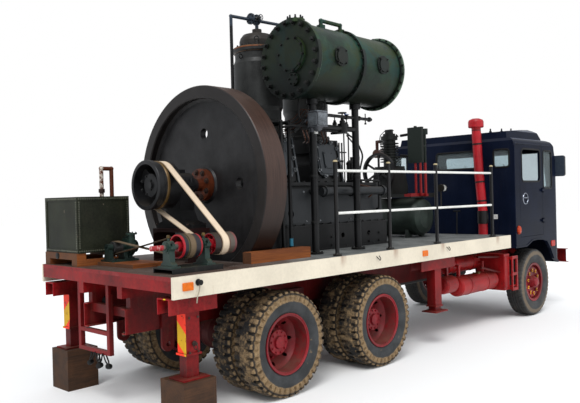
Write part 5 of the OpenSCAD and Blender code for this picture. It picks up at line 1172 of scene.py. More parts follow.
def headlamp_rims():
    rims = Heap()
    for _, side in SIDES:
        lamp = at(CAB_X + 1.817, side * (CAB_Y - 0.30), FLOOR_Z + 0.045)
        rims.loop(lamp, AHEAD, radius=0.108, thick=0.008, steps=40)
    rims.build("headlamp rims", "lorry", CHROME)


def cab_plates_and_lamps():
    knobs = Heap()
    amber, red = lens("deep amber lens", (0.78, 0.24, 0.04)), lens("red lens", (0.80, 0.14, 0.08))
    blank("blank front plate", WHITE, at(CAB_X + 1.7665, 0, FLOOR_Z + 0.04), LEFT, width=0.52, height=0.11,
          corner=0.010, thick=0.004)
    blank("blank plate", WHITE, at(CAB_X - 0.0005, -0.845, 1.70), RIGHT, width=0.113, height=0.074,
          corner=0.008, thick=0.004)
    marker_z, taller = FLOOR_Z + 0.135, 1.35
    for hand, side in SIDES:
        profile = [(0.0, 0.0), (0.052, 0.0), (0.052, 0.012), (0.042, 0.030), (0.018, 0.038), (0.0, 0.039)]
        lamp = Heap().lathe(profile, at(CAB_X + 0.12, side * CAB_Y, marker_z), (0, side, 0), steps=28)
        for vert in lamp.verts:
            vert.z = (vert.z - marker_z) * taller + marker_z
        lamp.build("side marker lens " + hand, "lorry", amber)
        blank("red reflector " + hand, red, at(CAB_X + 1.44, side * CAB_Y, FLOOR_Z - 0.165), (-side, 0, 0),
              width=0.15, height=0.10, corner=0.015, thick=0.012, edge=0.003)
    for x in (0.40, 0.81, 1.17):
        profile = [(0.0, -0.03), (0.022, -0.03), (0.022, 0.012), (0.012, 0.020), (0.014, 0.050), (0.0, 0.058)]
        knobs.lathe(profile, at(CAB_X + x, -0.60, FLOOR_Z + 1.77 + 0.06 * x), UP, steps=14)
    knobs.build("roof knobs", "lorry", HOSE)


def cushion(heap, origin, width, height, thick, up):
    """A cushion that swells from its back, round its edge, to a crowned face."""
    across = Vector(LEFT)
    out = across.cross(up)
    layers = ((0.0, 0.012), (0.02, 0.0), (0.55, -0.004), (0.80, 0.012), (0.93, 0.045), (1.0, 0.110),
              (1.02, 0.19))
    verts, count = [], 0
    for share, inset in layers:
        corner = max(0.02, 0.07 - inset / 3)
        outline = rounded_outline(width - 2 * inset, height - 2 * inset, radius=corner)
        count = len(outline)
        verts += [origin + across * a + up * b + out * (thick * share) for a, b in outline]
    heap.add(verts, walls(len(layers), count) + ends(len(verts), count))


def seats():
    """Crowned seat cushions and leaning backs."""
    cloth = seat_cloth()
    base, rake = FLOOR_Z + 0.25, math.atan2(0.04, 0.51)
    lean = Vector((-math.sin(rake), 0, math.cos(rake)))
    for hand, side in SIDES:
        seat = Heap()
        cushion(seat, at(CAB_X + 0.59, side * 0.57, base + 0.001), width=0.50, height=0.50, thick=0.138,
                up=Vector(BACK))
        cushion(seat, at(CAB_X + 0.245, side * 0.57, base + 0.385), width=0.48, height=0.50, thick=0.11,
                up=lean)
        made = seat.build("seat cushions " + hand, "lorry", cloth, smooth=50)
        if hand == "right":
            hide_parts("cab_seats")


# Deck edge: reflectors, lashing hooks, post bolts and the knob with its short cord
KNOB_X = 0.278


def deck_fittings():
    amber = lens("amber lens", (0.98, 0.47, 0.03))
    for name, x in (("rear", 0.16), ("front", 4.05)):
        for hand, side in SIDES:
            blank("amber reflector %s %s" % (name, hand), amber, at(x, side * HALF_W, 1.324), (-side, 0, 0),
                  width=0.118, height=0.074, corner=0.008, thick=0.014, edge=0.003)
    bolts = []
    for x in POSTS:
        bolts += ring(at(x, 0.09 - HALF_W, DECK_Z + 0.014), UP, radius=0.041, count=4, start=math.pi / 4)
    fasteners("post foot bolts", bolts, BOLT, radius=0.006, height=0.010)
    hooks = Heap()
    for x in (4.62, 3.02):
        y, z = -HALF_W - 0.010, 1.36
        hooks.tube(route((x - 0.03, y + 0.012, z + 0.01), (x - 0.02, y - 0.014, z - 0.02),
                         (x, y - 0.022, z - 0.045), (x + 0.025, y - 0.014, z - 0.02),
                         (x + 0.028, y + 0.012, z + 0.012)), radius=0.005, bend=0.02)
    hooks.build("lashing hooks", "lorry", BOLT)
    profile = [(0.0, 0.0), (0.030, 0.0), (0.032, 0.006), (0.014, 0.012), (0.012, 0.026), (0.024, 0.034),
               (0.026, 0.046), (0.014, 0.054), (0.0, 0.055)]
    knob = Heap().lathe(profile, at(KNOB_X, -HALF_W, 1.352), RIGHT)
    knob.build("rail knob", "lorry", HOSE)


def rail_cord():
    """A short cord tied to the knob on the right-hand rail."""
    thick = 0.012
    path = rounded(route((KNOB_X, -HALF_W - 0.0225, 1.338), (0.279, -HALF_W - 0.0235, 1.31),
                         (0.271, -HALF_W - 0.022, 1.27), (0.252, -HALF_W - 0.020, 1.22),
                         (0.243, -HALF_W - 0.020, 1.165)), 0.05)
    white = paint("cord white", (0.70, 0.66, 0.58), wear=0.0, dirt=0.5, gloss=0.85)
    made = Heap().tube(path, thick / 2).build("knob cord", "lorry", white, smooth=60)
    length = sum((b - a).length for a, b in zip(path, path[1:]))


# Under the deck: struts, drain cocks, leg pins, towing shackles and air lines
def step_struts():
    struts = Heap()
    struts.tube(route((5.89, -1.0, 1.114), (7.15, -1.0, 1.01)), radius=0.018, steps=10)
    struts.tube(route((5.99, -1.0, 0.943), (7.05, -1.0, 0.712)), radius=0.018, steps=10)
    struts.build("step struts", "lorry", RED_PAINT)


def tank_cocks():
    cocks = Heap()
    for x, z in ((5.924, 0.86), (4.796, 0.80)):
        cocks.tube(route((x, -0.90, z), (x, -0.99, z)), radius=0.012)
        profile = [(0.0, 0.0), (0.022, 0.0), (0.026, 0.01), (0.018, 0.03), (0.010, 0.045), (0.0, 0.046)]
        cocks.lathe(profile, at(x, -0.98, z), (0.2, -0.6, 0.5), steps=12)
    cocks.build("tank cocks", "lorry", BRASS)


def leg_pins():
    pins = Heap()
    face_y = 1.165
    for _, side in SIDES:
        out = (0, side, 0)
        profile = [(0.0, -0.002), (0.024, -0.002), (0.024, 0.012), (0.015, 0.020), (0.015, 0.036),
                   (0.0, 0.038)]
        pins.lathe(profile, at(0.28, side * face_y, 0.78), out, steps=18)
        pins.loop(at(0.28, side * (face_y + 0.026), 0.75), (1, 0.2, 0), radius=0.024, thick=0.004, steps=16,
                  sides=6)
        for x in (0.23, 0.33):
            for z in (0.70, 1.02):
                bolt = button(0.012, top=0.006, crown=0.002, base=-0.001)
                pins.lathe(bolt, at(x, side * face_y, z), out, steps=6)
    pins.build("leg pins", "lorry", RUSTY)


def towing_shackles():
    tow = Heap()
    for y, tilt in ((0.30, 0.5), (0.24, -0.4), (0.15, 0.3), (0.09, -0.6)):
        away = Vector((0, math.sin(tilt), -math.cos(tilt)))
        across = Vector((math.cos(tilt), math.cos(tilt) * 0.4, math.sin(tilt) * 0.4)).normalized()
        top = at(0.085, y, 0.545)
        bow = [(0.022, 0.0), (0.026, 0.09), (0.012, 0.125), (-0.012, 0.125), (-0.026, 0.09), (-0.022, 0.0)]
        tow.tube([top + across * a + away * down for a, down in bow], radius=0.008, bend=0.02)
        tow.tube([top + across * a + away * 0.012 for a in (0.040, -0.040)], radius=0.010)
        bush = [(0.010, -0.030), (0.026, -0.026), (0.030, 0.0), (0.026, 0.026), (0.010, 0.030)]
        tow.lathe(bush, top + away * 0.148, across, steps=12)
    tow.build("towing shackles", "lorry", HOSE)


def air_lines():
    lines = Heap()
    for y, z in ((0.496, 1.04), (0.351, 1.053)):
        profile = [(0.0, 0.0), (0.045, 0.0), (0.050, 0.012), (0.050, 0.030), (0.030, 0.046), (0.0, 0.050)]
        lines.lathe(profile, at(0.262, y, z), (-1, 0, 0.25), steps=20)
        lines.tube(route((0.25, y, z), (0.30, y, z), (0.34, y, z + 0.05), (0.34, y, 1.24)),
                   radius=0.013, bend=0.04)
        lines.tube(route((0.235, y, z - 0.03), (0.225, y - 0.02, z - 0.09), (0.235, y - 0.05, z - 0.10)),
                   radius=0.008, bend=0.02)
    lines.build("air line couplings", "lorry", HOSE)


def stack_clamps():
    """Dark clamp bands that hold the leaning intake stack to the cab."""
    bands = Heap()
    sleeve_z, knee_z, cap_z = 1.80, 2.42, STACK_TOP - 0.122
    for z in (2.904, 2.278, 1.965):
        if z > knee_z:
            foot_y, foot_z, lean = -0.655, knee_z, Vector((0, 0.035, cap_z - knee_z))
        else:
            foot_y, foot_z, lean = -0.705, sleeve_z, Vector((0, 0.05, knee_z - sleeve_z))
        y = foot_y + lean.y * (z - foot_z) / lean.z
        band = sleeve(0.074, 0.0795, half_width=0.013, chamfer=0.001)
        bands.lathe(band, at(STACK_X, y, z), lean, steps=36)
        bands.bar(at(STACK_X + 0.070, y - 0.012, z - 0.010), at(CAB_X + 0.001, y + 0.012, z + 0.010))
    bands.build("stack clamps", "lorry", BOLT)


# Receiver drum: studs of its rear end and covers, flange bolts and joint rings
def drum_fittings():
    centre = at(DRUM_X, DRUM_Y, DRUM_Z)

    def on_drum(name, offset, radius, count, start, head, height, washer=None):
        places = ring(centre + Vector(offset), BACK, radius=radius, count=count, start=start)
        fasteners(name, places, DRUM_BOLT, radius=head, height=height, washer=washer)

    on_drum("drum end studs", (0, 0, 0), radius=0.415, count=20, start=0.1, head=0.022, height=0.045,
            washer=0.030)
    on_drum("drum cover bolts", (-0.034, -0.06, 0.04), radius=0.190, count=10, start=0.2, head=0.013,
            height=0.022)
    on_drum("small cover bolts", (-0.030, -0.08, -0.245), radius=0.058, count=6, start=0.4, head=0.010,
            height=0.016)
    places = []
    for x in (0.416, 1.224):
        places += ring(centre + Vector((x, -0.450, 0.015)), RIGHT, radius=0.098, count=4, start=math.pi / 4)
    fasteners("hand-hole studs", places, DRUM_BOLT, radius=0.013, height=0.024)
    places = ring(centre + Vector((0.06, -0.06, 0.452)), UP, radius=0.086, count=8)
    fasteners("top flange studs", places, BOLT, radius=0.012, height=0.040)
    on_drum("middle flange bolts", (0.820, 0, 0), radius=0.444, count=30, start=0, head=0.010, height=0.016)
    on_drum("front flange bolts", (1.622, 0, 0), radius=0.462, count=26, start=0, head=0.011, height=0.016)
    collars = Heap()
    for x, radius in ((0.056, 0.448), (0.072, 0.442)):
        collars.loop(centre + Vector((x, 0, 0)), AHEAD, radius=radius, thick=0.008, steps=64)
    front_flange = mirrored([(0.440, -0.012), (0.472, -0.012), (0.476, -0.008)])
    collars.lathe(front_flange, centre + Vector((1.634, 0, 0)), AHEAD, steps=64)
    collars.build("drum joint rings", "lorry", iron("joint green", (0.30, 0.37, 0.31), sheen=0.5, rust=0.1))


# Engine: studs, lifting eyes, joint rings, clamp nuts and bolts
def cylinder_fittings():
    studs, feet, eyes, joints = [], [], Heap(), Heap()
    for x in CYLINDERS:
        studs += ring(at(x, CRANK_Y, HEAD_Z), UP, radius=0.265, count=16)
        feet += ring(at(x, CRANK_Y, FOOT_Z + 0.04), UP, radius=0.304, count=16, start=0.2)
        for turn in (45, 225):
            out = Vector((math.cos(math.radians(turn)), math.sin(math.radians(turn)), 0))
            eyes.loop(at(x, CRANK_Y, HEAD_Z + 0.082) + out * 0.26, out, radius=0.028, thick=0.009, steps=16,
                      sides=6)
        eyes.loop(at(x - 0.318, CRANK_Y - 0.03, HEAD_Z - 0.13), LEFT, radius=0.026, thick=0.008, steps=16,
                  sides=6)
        for down, radius in ((0.062, 0.294), (0.004, 0.303)):
            joints.loop(at(x, CRANK_Y, HEAD_Z - down), UP, radius=radius, thick=0.005, steps=64, sides=6)
    fasteners("cylinder head studs", studs, BOLT, radius=0.013, height=0.034)
    fasteners("cylinder foot bolts", feet, BOLT, radius=0.011, height=0.016)
    eyes.build("lifting eyes", "lorry", BOLT)
    joints.build("cylinder joint rings", "lorry", iron("joint rust", (0.42, 0.30, 0.20), sheen=0.5, rust=0.3))


def crank_bolts():
    """Bolts of the flywheel's hub, of the belt pulley and of the outboard bearing's feet."""
    places = ring(at(FLY_X - 0.1365, CRANK_Y, CRANK_Z), BACK, radius=0.150, count=8, start=0.3)
    fasteners("hub flange bolts", places, RUSTY, radius=0.026, height=0.030, washer=0.034, body="crank")
    places = ring(at(0.640, CRANK_Y, CRANK_Z), BACK, radius=0.095, count=6)
    fasteners("pulley boss bolts", places, BOLT, radius=0.012, height=0.016, body="crank")
    places = []
    for _, side in SIDES:
        for x in (0.96, 1.04, 1.12, 1.20):
            places.append((at(x, CRANK_Y + side * 0.285, DECK_Z + 0.41), UP))
            for high in (0.08, 0.24):
                places.append((at(x, CRANK_Y + side * 0.33, DECK_Z + high), (0, side, 0)))
    fasteners("bearing foot bolts", places, RUSTY, radius=0.014, height=0.018)


def door_nuts():
    """Clamp nuts round the leaning crankcase doors, and four screws on each blank panel."""
    up = Vector((0, math.sin(DOOR_LEAN), math.cos(DOOR_LEAN)))
    out = Vector((0, -math.cos(DOOR_LEAN), math.sin(DOOR_LEAN)))
    clamps, screws = [], []
    for x in CYLINDERS:
        door = at(x, CRANK_Y - 0.4 + 0.3 * math.tan(DOOR_LEAN), CRANK_Z + 0.313)
        for across, high in ((0.205, 0.15), (0.205, 0.0), (0.205, -0.15), (0.10, 0.228), (0.10, -0.228)):
            for _, side in SIDES:
                clamps.append((door + Vector((side * across, 0, 0)) + up * high + out * 0.034, out))
        for across in (-0.068, 0.068):
            for high in (-0.10, 0.08):
                screws.append((door + Vector((across, 0, 0)) + up * high + out * 0.052, out))
    fasteners("door clamp nuts", clamps, DOOR_CLAMP, radius=0.020, height=0.036, washer=0.026)
    fasteners("panel screws", screws, BOLT, radius=0.007, height=0.005, sides=12)


def bed_bolts():
    """Bolts along the ledge and the bed's flange, pairs of bolts on its sides, and its hand-hole covers."""
    flange_z, foot_z, cover_z = DECK_Z + 0.33, DECK_Z + 0.025, DECK_Z + 0.17
    places, covers = [], Heap()
    for _, side in SIDES:
        ledge, flange = CRANK_Y + side * 0.41, CRANK_Y + side * 0.495
        places += row(at(1.98, ledge, LEDGE_Z), at(4.18, ledge, LEDGE_Z), UP, count=16)
        places += row(at(1.95, flange, flange_z), at(4.30, flange, flange_z), UP, count=15)
        places += row(at(1.95, flange, foot_z), at(4.30, flange, foot_z), UP, count=9)
        for x in (1.99, 3.12, 3.91, 4.14):
            for high in (0.055, 0.16):
                places.append((at(x, CRANK_Y + side * 0.5, DECK_Z + high), (0, side, 0)))
    profile = [(0.0, -0.002), (0.095, -0.002), (0.098, 0.004), (0.092, 0.014), (0.060, 0.016), (0.052, 0.024),
               (0.0, 0.026)]
    for x in (2.30, 2.86, 3.42, 3.98):
        covers.lathe(profile, at(x, CRANK_Y + 0.5, cover_z), LEFT, steps=28)
        places += ring(at(x, CRANK_Y + 0.515, cover_z), LEFT, radius=0.077, count=6)
    covers.build("hand-hole covers of the bed", "lorry", BOLT)
    fasteners("bed bolts", places, BOLT, radius=0.015, height=0.020)


def lower_door_screws():
    """Screws at the corners of the bed's sloping lower doors."""
    for x in CYLINDERS:
        places = []
        for across in (-0.305, 0.305):
            for z in (1.80, 2.17):
                y = CRANK_Y - 0.494 + 0.1 * (z - 1.75)
                places.append((at(x + across, y, z), RIGHT))
        fasteners("lower door screws", places, DOOR_CLAMP, radius=0.010, height=0.012)


# Cooling tank: close rows of rivets along its angle irons, pipe couplings and the drain knob
def tank_rivets():
    x0, x1, y0, y1 = TANK_LOW.x, TANK_LOW.x + TANK_LENGTH, TANK_LOW.y, TANK_HIGH.y
    inset, corner, below = 0.020, 0.022, 0.06
    places = []
    for z in (TANK_BASE + corner, TANK_TOP - corner):
        places += row((x0, y0 + inset, z), (x0, y1 - inset, z), BACK, count=27)
        places += row((x0 + inset, y0, z), (x1 - inset, y0, z), RIGHT, count=24)
        places += row((x0 + inset, y1, z), (x1 - inset, y1, z), LEFT, count=24)
        places += row((x1, y0 + inset, z), (x1, y1 - inset, z), AHEAD, count=27)
    for x, y, out in ((x0, y0 + corner, BACK), (x0 + corner, y0, RIGHT), (x0, y1 - corner, BACK),
                      (x1 - corner, y0, RIGHT), (x0 + corner, y1, LEFT), (x1 - corner, y1, LEFT)):
        places += row((x, y, TANK_BASE + below), (x, y, TANK_TOP - below), out, count=21)
    # The rivets are a paler green than the tank as painted highlight, so that they show as light dots.
    rivet_highlight_green = paint("rivet green painted highlight", (0.30, 0.31, 0.26), gloss=0.3)
    fasteners("tank rivets", places, rivet_highlight_green, radius=0.009, height=0.007, washer=0.0095, sides=10)


def tank_fittings():
    pipe_y, riser_x, down_x = 0.915, 0.593, 0.726
    couplings = Heap()
    for x, z in ((riser_x, TANK_TOP + 0.07), (down_x, 1.75), (down_x, 2.05)):
        couplings.lathe(sleeve(0.026, 0.036, half_width=0.022), at(x, pipe_y, z), UP, steps=16)
    couplings.build("return pipe couplings", "lorry", RUSTY)
    profile = [(0.0, 0.0), (0.020, 0.0), (0.020, 0.010), (0.034, 0.012), (0.036, 0.030), (0.0, 0.040)]
    knob = Heap().lathe(profile, at(0.052, 0.922, 1.525), BACK, steps=20)
    knob.build("drain knob", "lorry", HOSE)


# Engine: small pipes, valves and unions between the drum and the crankcases
RAIL_Y, RAIL_Z = -0.40, 2.955
LUBRICATOR_Z = 3.10


def oil_rail(black, valves):
    """The oil rail along the cylinder feet, its valves, and its pipes down to the ledge."""
    wall, foot = CRANK_Y - 0.24, LEDGE_Z - 0.004
    black.tube(route((2.56, wall, 2.96), (2.62, RAIL_Y, 2.96), (3.55, RAIL_Y, 2.96), (3.46, wall, 2.96)),
               radius=0.015, steps=10, bend=0.06)
    for x, top in ((3.285, 3.06), (3.53, 3.05), (2.95, 3.02)):
        black.tube(route((x, RAIL_Y, RAIL_Z), (x, RAIL_Y, top)), radius=0.010)
        valves.valve(at(x, RAIL_Y, top), UP)
    for x in (3.485, 3.578):
        black.tube(route((x, -0.385, RAIL_Z), (x, -0.385, foot)), radius=0.009)
    black.tube(route((3.52, RAIL_Y, 2.95), (3.74, RAIL_Y, 2.86), (3.875, RAIL_Y, 2.66), (3.80, RAIL_Y, 2.47),
                     (3.77, -0.38, foot)), radius=0.012, bend=0.12)
    black.tube(route((3.53, RAIL_Y, 2.92), (3.69, RAIL_Y, 2.80), (3.80, RAIL_Y, 2.63), (3.73, RAIL_Y, 2.47),
                     (3.70, -0.38, foot)), radius=0.010, bend=0.12)
    black.tube(route((3.55, -0.36, 2.30), (3.60, -0.458, 2.318), (4.147, -0.458, 2.308),
                     (4.141, -0.458, 2.17), (4.131, -0.458, 1.93), (4.131, -0.40, 1.90)),
               radius=0.015, bend=0.03)


def copper_pipes(copper, unions):
    """The pipe over the bed's edge, four feeds from the oil rail, and five drips of the lubricator."""
    copper.tube(route((3.70, -0.36, 2.30), (3.715, -0.468, 2.25), (3.94, -0.468, 2.223),
                      (4.035, -0.468, 2.166), (3.96, -0.462, 2.11), (3.96, -0.41, 2.08)),
                radius=0.009, bend=0.03)
    for x in (3.071, 3.005, 2.72, 2.655):
        copper.tube(route((x, RAIL_Y, RAIL_Z), (x + 0.047, RAIL_Y, 2.848), (x + 0.12, -0.335, 2.815),
                          (x + 0.15, -0.27, 2.80)), radius=0.008, bend=0.05)
    nut = [(0.0, 0.0), (0.011, 0.0), (0.011, 0.022), (0.006, 0.026), (0.0, 0.026)]
    for i in range(5):
        x, down = 2.32 + 0.05 * i, 0.02 * i
        copper.tube(route((x, -0.80, LUBRICATOR_Z), (x, -0.80, 3.135), (x, -0.70, 3.15),
                          (x + 0.02, -0.56, 3.06 - down), (2.36 + 0.05 * i, -0.27, 2.99 - down),
                          (2.36 + down, -0.20, 2.99 - down)), radius=0.005, steps=6, bend=0.04)
        unions.lathe(nut, at(x, -0.80, 3.109), UP, steps=6)


def column_pipes(black, valves, unions):
    """Small pipes and six-sided unions along the pipe that joins the drum's columns."""
    black.tube(route((2.258, -0.72, 3.30), (2.25, -0.72, 3.04), (2.37, -0.74, 3.04)), radius=0.012, bend=0.03)
    black.tube(route((2.686, COLUMN_Y, 3.30), (2.682, COLUMN_Y, 3.17), (2.617, COLUMN_Y, 3.15),
                     (2.60, COLUMN_Y, LUBRICATOR_Z)), radius=0.010, bend=0.03)
    black.tube(route((2.178, -0.52, 2.947), (2.24, -0.66, 2.95), (2.43, -0.745, 2.955)), radius=0.016,
               bend=0.05)
    black.tube(route((2.90, COLUMN_Y, 3.10), (2.90, -0.66, 3.12), (2.90, -0.52, 3.10), (2.93, RAIL_Y, 2.97)),
               radius=0.010, bend=0.05)
    union = mirrored([(0.0, -0.022), (0.030, -0.022), (0.032, -0.010)])
    for x in (2.62, 3.09, 3.34, 3.56):
        unions.lathe(union, at(x, COLUMN_Y, 3.10), AHEAD, steps=6)
    unions.tube(route((3.477, COLUMN_Y, 3.04), (3.477, COLUMN_Y, 3.17)), radius=0.007)
    unions.lathe(button(0.014, top=0.020, crown=0.002), at(3.477, COLUMN_Y, 3.03), UP, steps=10)
    valves.valve(at(3.006, COLUMN_Y, 3.03), UP, size=1.2)


def engine_plumbing():
    black, copper, valves, unions = Heap(), Heap(), Heap(), Heap()
    oil_rail(black, valves)
    copper_pipes(copper, unions)
    column_pipes(black, valves, unions)
    black.build("small pipes", "lorry", HOSE)
    copper.build("copper pipes", "lorry", COPPER)
    valves.build("screw-down valves", "lorry", BOLT)
    unions.build("pipe unions", "lorry", BOLT)


def lubricator():
    """Lids of the lubricator box, and the blue valve handle and white junction beside it."""
    handle = Heap().plate(rounded_outline(0.10, 0.016, radius=0.006), at(3.09, -0.764, 3.134), AHEAD, LEFT,
                          thick=0.006)
    handle.lathe(button(0.010, top=0.014), at(3.06, -0.764, 3.125), UP, steps=10)
    handle.build("blue valve handle", "lorry", paint("handle blue", (0.16, 0.34, 0.62), dirt=0.1))
    lids = Heap()
    x, z = 2.45, 3.02
    for width, height, centre, across, up, thick, edge in (
            (0.17, 0.15, at(x, -0.915, z), AHEAD, UP, 0.010, 0.004),
            (0.13, 0.15, at(x - 0.095, -0.845, z), RIGHT, UP, 0.008, 0.003),
            (0.20, 0.16, at(x, -0.84, z + 0.089), AHEAD, LEFT, 0.012, 0.004)):
        lids.plate(rounded_outline(width, height, radius=0.02), centre, across, up, thick, edge)
    lids.build("lubricator lids", "lorry", iron("box grey", (0.42, 0.44, 0.46), sheen=0.4, rust=0.1))
    junction = Heap().bar(at(2.425, -0.825, 2.855), at(2.475, -0.795, 2.895), edge=0.006)
    junction.build("white junction", "lorry", WHITE)


def filters_and_rods():
    """Valve gear rods with their guides, and two oil filters, on the ledge in front of the cylinders."""
    gear, foot = Heap(), LEDGE_Z - 0.004
    for x, y in ((3.60, -0.20), (3.66, -0.20), (3.64, 0.16), (3.70, 0.16)):
        gear.tube(route((x, y, foot), (x, y, 2.84)), radius=0.011)
        gear.lathe(button(0.020, top=0.0, crown=0.002, base=-0.03), at(x, y, 2.60), UP, steps=10)
    gear.bar(at(3.50, -0.23, 2.70), at(3.73, -0.17, 2.715), edge=0.004)
    gear.bar(at(3.50, 0.13, 2.70), at(3.76, 0.19, 2.715), edge=0.004)
    large = [(0.0, 0.0), (0.080, 0.0), (0.082, 0.02), (0.070, 0.03), (0.070, 0.24), (0.076, 0.25),
             (0.076, 0.27), (0.050, 0.30), (0.018, 0.31), (0.018, 0.35), (0.0, 0.35)]
    gear.lathe(large, at(3.74, -0.30, LEDGE_Z - 0.001), UP)
    small = [(0.0, 0.0), (0.058, 0.0), (0.058, 0.16), (0.030, 0.18), (0.030, 0.22), (0.0, 0.22)]
    gear.lathe(small, at(3.90, -0.26, LEDGE_Z - 0.001), UP, steps=20)
    gear.tube(route((3.90, -0.26, 2.49), (3.90, -0.26, 2.58), (3.80, -0.28, 2.60), (3.74, -0.30, 2.60)),
              radius=0.012, bend=0.03)
    gear.build("oil filters and gear rods", "lorry", BOLT)


def column_clips():
    """Clip bands and foot bolts of the two columns under the drum."""
    clips = Heap()
    for x in COLUMNS:
        for z in (1.80, 2.35):
            band = sleeve(0.0445, 0.050, half_width=0.015, chamfer=0.003)
            clips.lathe(band, at(x, COLUMN_Y, z), UP, steps=28)
        for place, out in ring(at(x, COLUMN_Y, DECK_Z + 0.02), UP, radius=0.072, count=4, start=0.8):
            clips.lathe(button(0.011, top=0.014, crown=0.001, base=-0.001), place, out, steps=6)
    clips.build("column clips", "lorry", BOLT)


def stop_valve():
    """Flange studs and handwheel of the stop valve on the air pipe over the cylinder heads."""
    z = HEAD_Z + 0.372
    places = []
    for behind in (0.112, 0.012):
        places += ring(at(CYLINDERS[0] - behind, CRANK_Y, z), BACK, radius=0.052, count=6)
    fasteners("stop valve studs", places, BOLT, radius=0.008, height=0.014)
    wheel = Heap()
    wheel.valve(at(CYLINDERS[0] - 0.056, CRANK_Y - 0.06, z), RIGHT, size=0.8)
    wheel.build("stop valve wheel", "lorry", BOLT)


# Auxiliary set: gauge, ignition lead, water pipes, studs, ribs and the T-key beside it
def gauge():
    x, y, z = AUX_X + 0.5665, -0.20, 2.196
    dial = Heap().lathe(button(0.052, top=0.002, crown=0.001), at(x + 0.003, y, z), BACK, steps=36)
    dial.build("gauge dial", "lorry", WHITE)
    rim = Heap().loop(at(x + 0.0015, y, z), AHEAD, radius=0.057, thick=0.006, steps=36)
    rim.tube(route((x - 0.0015, y, z), (x - 0.0015, y - 0.022, z + 0.026)), radius=0.002, steps=6)
    rim.lathe(button(0.006, top=0.006, crown=0.001), at(x, y, z), BACK, steps=12)
    for place, _ in ring(at(x, y, z), AHEAD, radius=0.042, count=9):
        rim.lathe(button(0.003, top=0.002), place, BACK, steps=6)
    rim.build("gauge rim", "lorry", HOSE)


def aux_fittings():
    x, y, head_z = AUX_X, 0.28, 3.054
    lead = Heap()
    lead.tube(route((x - 0.14, y, 3.155), (x - 0.20, y, 3.16), (x - 0.39, y, 3.13), (x - 0.52, y, 3.05),
                    (x - 0.53, y, 2.94), (x - 0.42, y, 2.80), (x - 0.33, 0.29, 2.62), (x - 0.32, 0.29, 2.54)),
              radius=0.006, bend=0.10)
    lead.tube(route((x - 0.12, 0.16, 3.06), (x - 0.11, 0.02, 3.07), (x - 0.10, -0.055, 3.07)),
              radius=0.022, steps=12, bend=0.03)
    lead.tube(route((x - 0.12, 0.17, 2.74), (x - 0.11, 0.0, 2.72), (x - 0.10, -0.05, 2.66),
                    (x - 0.10, -0.055, 2.64)), radius=0.018, steps=12, bend=0.03)
    lead.build("ignition lead and water pipes", "lorry", HOSE)
    fasteners("aux head studs", ring(at(x - 0.12, 0.30, head_z), UP, radius=0.115, count=6), BOLT,
              radius=0.013, height=0.030)
    ribs = Heap()
    for rib_y in (-0.27, -0.19, -0.11):
        ribs.bar(at(x - 0.136, rib_y - 0.006, 2.66), at(x - 0.129, rib_y + 0.006, 3.13))
    ribs.build("header tank ribs", "lorry", iron("header green", (0.15, 0.20, 0.17), rust=0.1))


def t_key():
    x, y, top = DECK_END - 0.05, -0.325, 1.80
    key = Heap()
    key.tube(route((x, y, DECK_Z - 0.002), (x, y - 0.011, top)), radius=0.010, steps=10)
    key.tube(route((x, y + 0.057, top + 0.005), (x, y - 0.074, top + 0.005)), radius=0.011, steps=10)
    foot = [(0.0, 0.0), (0.030, 0.0), (0.030, 0.008), (0.014, 0.014), (0.0, 0.015)]
    key.lathe(foot, at(x, y, DECK_Z), UP, steps=16)
    key.build("T-key", "lorry", BOLT)


# Countershaft and pump: oil cups, cap bolts, cover bolts and flange bolts
def belt_side_fittings():
    bolts, cups = [], Heap()
    cup = [(0.0, -0.004), (0.012, -0.004), (0.012, 0.004), (0.018, 0.008), (0.018, 0.026), (0.013, 0.032),
           (0.0, 0.033)]
    for x in (0.20, 0.62):
        for _, side in SIDES:
            bolts.append((at(x, COUNTER.y + side * 0.062, COUNTER.z + 0.034), UP))
            bolts.append((at(x, COUNTER.y + side * 0.075, DECK_Z + 0.068), UP))
        cups.lathe(cup, at(x, COUNTER.y, 1.749), UP, steps=16)
    for y in (PUMP_Y - 0.10, PUMP_Y + 0.09):
        bolts += [(at(x, y, DECK_Z + 0.062), UP) for x in (0.32, 0.56)]
    fasteners("countershaft bolts", bolts, BOLT, radius=0.013, height=0.018)
    cups.build("oil cups", "lorry", BRASS)
    cover = ring(at(0.5265, PUMP_Y - 0.014, 1.616), BACK, radius=0.094, count=8, start=0.2)
    fasteners("pump cover bolts", cover, BOLT, radius=0.008, height=0.012)
    flange = ring(at(0.553, PUMP_Y - 0.076, 1.76), UP, radius=0.050, count=4, start=0.8)
    fasteners("pump flange bolts", flange, BOLT, radius=0.008, height=0.014)


# Camera, floor and light
def camera():
    """The photograph's view: from behind on the right-hand side, at eye height."""
    place = at(-3.566, -6.159, 2.105)
    yaw, pitch, roll = 0.768, -0.006, -0.026
    ahead = Vector((math.cos(yaw) * math.cos(pitch), math.sin(yaw) * math.cos(pitch), math.sin(pitch)))
    side = ahead.cross(Vector(UP)).normalized()
    over = side.cross(ahead)
    right = side * math.cos(roll) + over * math.sin(roll)
    up = over * math.cos(roll) - side * math.sin(roll)
    data = bpy.data.cameras.new("photo view")
    data.lens, data.sensor_width, data.clip_end = 41.93, 36.0, 200.0
    eye = bpy.data.objects.new("photo view", data)
    bpy.context.scene.collection.objects.link(eye)
    eye.matrix_world = Matrix.Translation(place) @ Matrix((right, up, -ahead)).transposed().to_4x4()
    bpy.context.scene.camera = eye


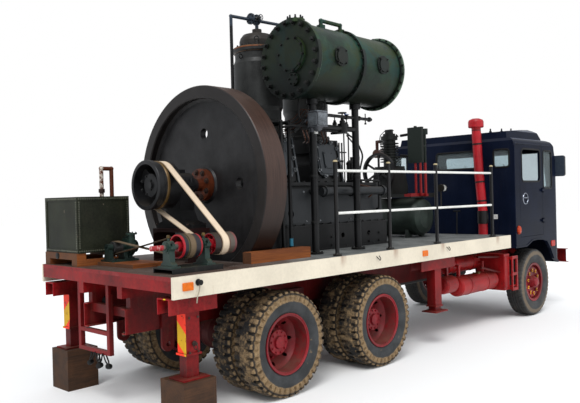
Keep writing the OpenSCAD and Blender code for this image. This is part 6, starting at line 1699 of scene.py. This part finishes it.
def floor():
    half = 60.0
    mesh = bpy.data.meshes.new("floor")
    corners = [(-half, -half, 0), (half, -half, 0), (half, half, 0), (-half, half, 0)]
    mesh.from_pydata(corners, [], [(0, 1, 2, 3)])
    pale = Finish("pale floor")
    colour = pale.mix((0.955, 0.955, 0.95), (0.965, 0.965, 0.965), pale.noise(0.4))
    mesh.materials.append(pale.shade(colour, 0.9))
    plane = bpy.data.objects.new("floor", mesh)
    bpy.context.scene.collection.objects.link(plane)


def overcast():
    """A pale blue sky that lights the lorry, and plain white where the camera looks past it."""
    world = bpy.data.worlds.new("overcast")
    bpy.context.scene.world = world
    world.use_nodes = True
    tree = world.node_tree
    sky = tree.nodes["Background"]
    feed(tree, sky.inputs["Color"], (0.93, 0.96, 1.0, 1.0))
    feed(tree, sky.inputs["Strength"], 0.75)
    white = node(tree, "ShaderNodeBackground", {}, {"Color": (1.0, 1.0, 1.0, 1.0), "Strength": 1.0})
    seen = node(tree, "ShaderNodeLightPath", {}, {}).outputs["Is Camera Ray"]
    shaders = {0: Val(tree, seen), 1: Val(tree, sky.outputs[0]), 2: Val(tree, white.outputs[0])}
    both = node(tree, "ShaderNodeMixShader", {}, shaders)
    feed(tree, tree.nodes["World Output"].inputs["Surface"], Val(tree, both.outputs[0]))


def sun(name, power, spread, turn):
    """A lamp like the sun; its spread and its turn are in degrees."""
    lamp = bpy.data.lights.new(name, "SUN")
    lamp.energy, lamp.angle = power, math.radians(spread)
    hung = bpy.data.objects.new(name, lamp)
    hung.rotation_euler = [math.radians(a) for a in turn]
    bpy.context.scene.collection.objects.link(hung)


wear_of_lorry()
wear_of_engine()
wear_of_drives()
for fitting in (tyres, hubs, drum_fittings, cylinder_fittings, crank_bolts, door_nuts, bed_bolts,
                lower_door_screws, tank_rivets, tank_fittings, cab_windows, wipers, headlamp_rims,
                cab_plates_and_lamps, seats, deck_fittings, rail_cord, step_struts, tank_cocks, leg_pins,
                towing_shackles, air_lines, stack_clamps, engine_plumbing, lubricator, filters_and_rods,
                column_clips, stop_valve, gauge, aux_fittings, t_key, belt_side_fittings):
    fitting()
camera()
floor()
overcast()
sun("soft sun", power=1.9, spread=25, turn=(38, 0, -55))
sun("sky fill", power=0.6, spread=60, turn=(62, 0, 20))
bpy.context.scene.view_settings.view_transform = "Standard"
